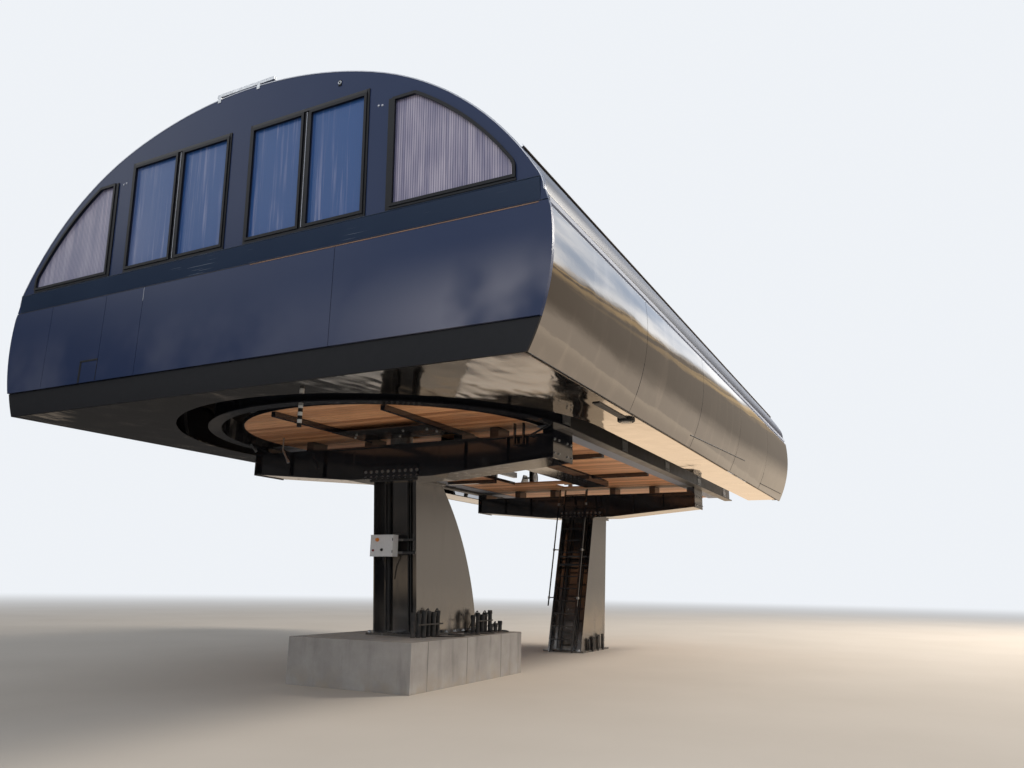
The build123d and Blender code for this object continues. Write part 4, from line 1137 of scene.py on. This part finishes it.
def wheel_parts(name, tread, radius, wide):
    """Tread blocks, disc and nuts of one wheel that turns about the Y axis."""
    low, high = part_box(name)
    middle = Vector([(low[axis] + high[axis]) / 2 for axis in range(3)])
    turned_y = Matrix.Translation(middle) @ Matrix.Rotation(math.pi / 2, 4, "X")
    disc = bmesh.new()
    for side in (-1, 1):
        face = turned_y @ Matrix.Rotation(0 if side > 0 else math.pi, 4, "X")
        pressed = ((0.034, -0.002), (0.034, 0.014), (0.060, 0.014), (0.072, 0.004),
                   (radius * 0.52, 0.004), (radius * 0.60, 0.010), (radius * 0.64, 0.010),
                   (radius * 0.66, -0.002))
        lathe(disc, [(reach, wide / 2 + rise) for reach, rise in pressed], 32, face)
        for number in range(6):
            turn = number * math.tau / 6
            nut = radius * 0.40 * Vector((math.cos(turn), math.sin(turn), 0))
            spot = face @ (nut + Vector((0, 0, wide / 2 + 0.003)))
            hex_head(disc, spot, face.to_3x3() @ Vector((0, 0, 1)), 0.010, 0.012)
    piece(name + "_disc", disc, galvanised, 0.0, name)
    if tread:
        ribs = bmesh.new()
        count = 30
        reach = radius * math.cos(math.pi / (2 * count)) - 0.003
        for number in range(count):
            turn = (number + 0.5) * math.tau / count
            for side in (-1, 1):
                spot = Matrix.Translation((reach, 0, side * wide * 0.24))
                spot = Matrix.Rotation(turn + side * 0.05, 4, "Z") @ spot
                skew = Matrix.Rotation(side * 0.45, 4, "X") @ Matrix.Diagonal((0.006, 0.020, wide * 0.44, 1))
                bmesh.ops.create_cube(ribs, size=1.0, matrix=turned_y @ spot @ skew)
        piece(name + "_tread", ribs, rubber, 0.0, name)


wheel_names = [name for name in nodes if name.startswith("tyre_") and name != "tyre_beams"]
dress(rubber, *wheel_names)
dress(rubber, "sheave_near", "sheave_far")
for name in wheel_names:
    wheel_parts(name, True, 0.240, 0.110)
for name in ("sheave_near", "sheave_far"):
    wheel_parts(name, False, 0.225, 0.080)

# The control box on the front mast: folded sheet, pale grey powder coat. Its door has an
# emergency button, a key switch and a lamp, and a gland with its cable below.
box_coat = mottled_coat(
    "box_coat", (0.66, 0.65, 0.64, 1), (0.78, 0.77, 0.75, 1), 0.4, 30.0, 2.0, relief=(0.1, 0.0005)
)
dress(box_coat, "control_box")
orange = mottled_coat("orange_plastic", (0.75, 0.22, 0.02, 1), (0.90, 0.32, 0.04, 1), 0.4, 25.0)
red = mottled_coat("red_plastic", (0.16, 0.012, 0.012, 1), (0.26, 0.02, 0.018, 1), 0.4, 25.0)
black_plastic = mottled_coat(
    "black_plastic", (0.010, 0.010, 0.011, 1), (0.022, 0.022, 0.023, 1), 0.45, 25.0
)
box_low, box_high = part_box("control_box")
outward = Matrix.Rotation(-math.pi / 2, 4, "Y")
door = bmesh.new()
door_face = box_low[0] - 0.006
box_into(door, (door_face, box_low[1] + 0.010, box_low[2] + 0.010),
         (box_low[0] + 0.002, box_high[1] - 0.010, box_high[2] - 0.010))
box_into(door, (box_low[0] - 0.012, box_low[1] - 0.002, box_high[2] - 0.004),
         (box_high[0], box_high[1] + 0.002, box_high[2] + 0.004))
piece("box_door", door, box_coat, 0.002)


def knob(name, material, y, z, radius, depth):
    """A round control on the box's door."""
    shape = bmesh.new()
    turned = ((0.0, 0.0), (1.25, 0.0), (1.25, 0.3), (0.7, 0.35), (0.7, 0.6), (1.0, 0.65),
              (1.0, 0.9), (0.8, 1.0), (0.0, 1.0))
    profile = [(radius * reach, depth * rise) for reach, rise in turned]
    lathe(shape, profile, 20, Matrix.Translation((door_face, y, z)) @ outward)
    piece(name, shape, material)


knob("stop_button", orange, 0.242, 2.337, 0.026, 0.040)
knob("key_switch", black_plastic, 0.141, 2.166, 0.020, 0.026)
knob("signal_lamp", red, 0.323, 2.156, 0.016, 0.022)
fittings = bmesh.new()
for z in (0.06, box_high[2] - box_low[2] - 0.10):
    hinge = Vector((door_face, box_low[1] + 0.006, box_low[2] + z))
    tube(fittings, [hinge, hinge + Vector((0, 0, 0.045))], 0.007)
gland = Vector((box_low[0] + 0.08, 0.16, box_low[2] + 0.004))
drops = ((0, 0, 0), (0, 0, -0.064), (0.09, 0.02, -0.184), (0.15, 0.04, -0.404))
drop = [gland + Vector(step) for step in drops]
tube(fittings, bent(drop), 0.011)
tube(fittings, [gland, gland - Vector((0, 0, 0.034))], 0.018, 10)
piece("box_fittings", fittings, black_plastic)

# Ladder fittings: bright clamps where the handrails meet their brackets, and grip strips on
# the rungs. The ladder leans from the floor to the hatch.
ladder_foot, ladder_head, ladder_rise, rung_pitch = 11.46, 12.52, 4.12, 0.305
ladder_slope = (ladder_head - ladder_foot) / ladder_rise
clamps = bmesh.new()
for z in (1.3, 2.5, 3.7):
    x = ladder_foot + ladder_slope * z
    for sign in (-1, 1):
        box_into(clamps, at(x - 0.185, sign * 0.368, z - 0.030), at(x - 0.140, sign * 0.412, z + 0.030))
        hex_head(clamps, at(x - 0.02, sign * 0.311, z), (0, sign, 0), 0.011, 0.012)
piece("ladder_clamps", clamps, galvanised, 0.002)
grips = bmesh.new()
for number in range(1, 14):
    z = number * rung_pitch
    x = ladder_foot + ladder_slope * z
    for y in (-0.19, 0.0, 0.19):
        box_into(grips, at(x - 0.012, y - 0.07, z + 0.013), at(x + 0.012, y + 0.07, z + 0.0165))
piece("rung_grips", grips, cable_coat)

# Small fittings under the shell: a lamp at the near corner, hangers and levers beside the
# rail, rail joint bolts, a striped height marker, and thin cables along the ribs.
lamp_x, lamp_y = 3.95, -4.36
lamp_body = bmesh.new()
rim = [(0.135, 0.0), (0.135, 0.030), (0.118, 0.042), (0.100, 0.034)]
lathe(lamp_body, [(0.0, 0.0), *rim, (0.0, 0.034)], 32,
      Matrix.Translation(at(lamp_x, lamp_y, 4.091)) @ Matrix.Rotation(math.pi, 4, "X"))
box_into(lamp_body, at(2.66, -4.42, 4.076), at(3.80, -4.31, 4.091))
piece("soffit_lamp", lamp_body, black_plastic, 0.002)
glass = mottled_coat("lamp_glass", (0.035, 0.034, 0.032, 1), (0.060, 0.058, 0.055, 1), 0.12, 8.0)
lens = bmesh.new()
lathe(lens, [(0.0, 0.0), (0.098, 0.0), (0.090, 0.012), (0.0, 0.016)], 32,
      Matrix.Translation(at(lamp_x, lamp_y, 4.058)) @ Matrix.Rotation(math.pi, 4, "X"))
piece("lamp_lens", lens, glass)

hanger_x, hanger_half = 3.95, 0.03
hanger_start, hanger_end = hanger_x - hanger_half, hanger_x + hanger_half
hangers = bmesh.new()
for y in (-2.46, -2.62):
    box_into(hangers, at(hanger_start, y - 0.012, 3.83), at(hanger_end, y + 0.012, 4.17))
box_into(hangers, at(hanger_start, -2.632, 3.806), at(hanger_end, -2.448, 3.832))
for sign in (-1, 1):
    tube(hangers, [at(hanger_x, sign * 2.72, 3.95), at(hanger_x, sign * 3.12, 4.12)], 0.018)
for x in (5.6, 8.4, 11.2, 14.0):
    for sign in (-1, 1):
        box_into(hangers, at(x - 0.05, sign * 3.02, 4.15), at(x + 0.05, sign * 3.082, 4.44))
piece("hangers", hangers, black_paint, 0.002)
bright = bmesh.new()
for x in (4.3, 7.2, 10.1, 13.0, 15.9):
    for sign in (-1, 1):
        box_into(bright, at(x - 0.16, sign * 3.219, 4.16), at(x + 0.16, sign * 3.229, 4.38))
        for dx in (-0.11, -0.05, 0.05, 0.11):
            for z in (4.20, 4.34):
                hex_head(bright, at(x + dx, sign * 3.2285, z), (0, sign, 0), 0.011, 0.013)
lever_x = 3.60
for y, z, low_y, low_z in ((2.97, 4.115, 2.83, 3.98), (2.16, 3.96, 2.01, 3.73)):
    tube(bright, [at(lever_x, y, z), at(lever_x, low_y, low_z)], 0.017)
    grip = [at(lever_x, low_y + 0.02, low_z + 0.035), at(lever_x, low_y - 0.01, low_z - 0.015)]
    tube(bright, grip, 0.026)
tube(bright, [at(lever_x, 2.16, 4.178), at(lever_x, 2.16, 3.955)], 0.014)
piece("rail_fittings", bright, galvanised, 0.001)

rod_x, rod_y, rod_top, rod_step = 1.245, -0.33, 4.170, 0.055
marker = mottled_coat("marker_white", (0.70, 0.70, 0.68, 1), (0.80, 0.80, 0.78, 1), 0.4, 25.0)
for first, tone, material, slot_name in (
    (0, "black", black_plastic, "black_trim"), (1, "white", marker, "flashing"),
):
    rod_shape = bmesh.new()
    for number in range(first, 7, 2):
        z = rod_top - number * rod_step
        tube(rod_shape, [at(rod_x, rod_y, z), at(rod_x, rod_y, z - rod_step)], 0.034, 16)
    piece("marker_rod_" + tone, rod_shape, material)

wires = bmesh.new()
for y, z in ((3.43, 4.30), (3.26, 4.06), (2.52, 4.03), (2.41, 3.90)):
    line = [at(4.0, y, z + 0.02), at(4.15, y - 0.10, z - 0.07), at(4.32, y - 0.25, z - 0.10)]
    tube(wires, bent([*line, at(4.5, y - 0.45, z - 0.02)]), 0.009, 6)
for y in (-0.70, -0.82, -0.90, -1.04, -1.12):
    line = [at(4.62 + 0.85 * number, y + 0.015 * (-1) ** number, 4.064) for number in range(9)]
    tube(wires, bent(line, 3), 0.012, 6)
for sign in (-1, 1):
    line = [at(4.9 + 1.13 * number, sign * (2.96 + 0.01 * (-1) ** number), 4.245) for number in range(10)]
    tube(wires, bent(line, 3), 0.011, 6)
piece("wires", wires, cable_coat)
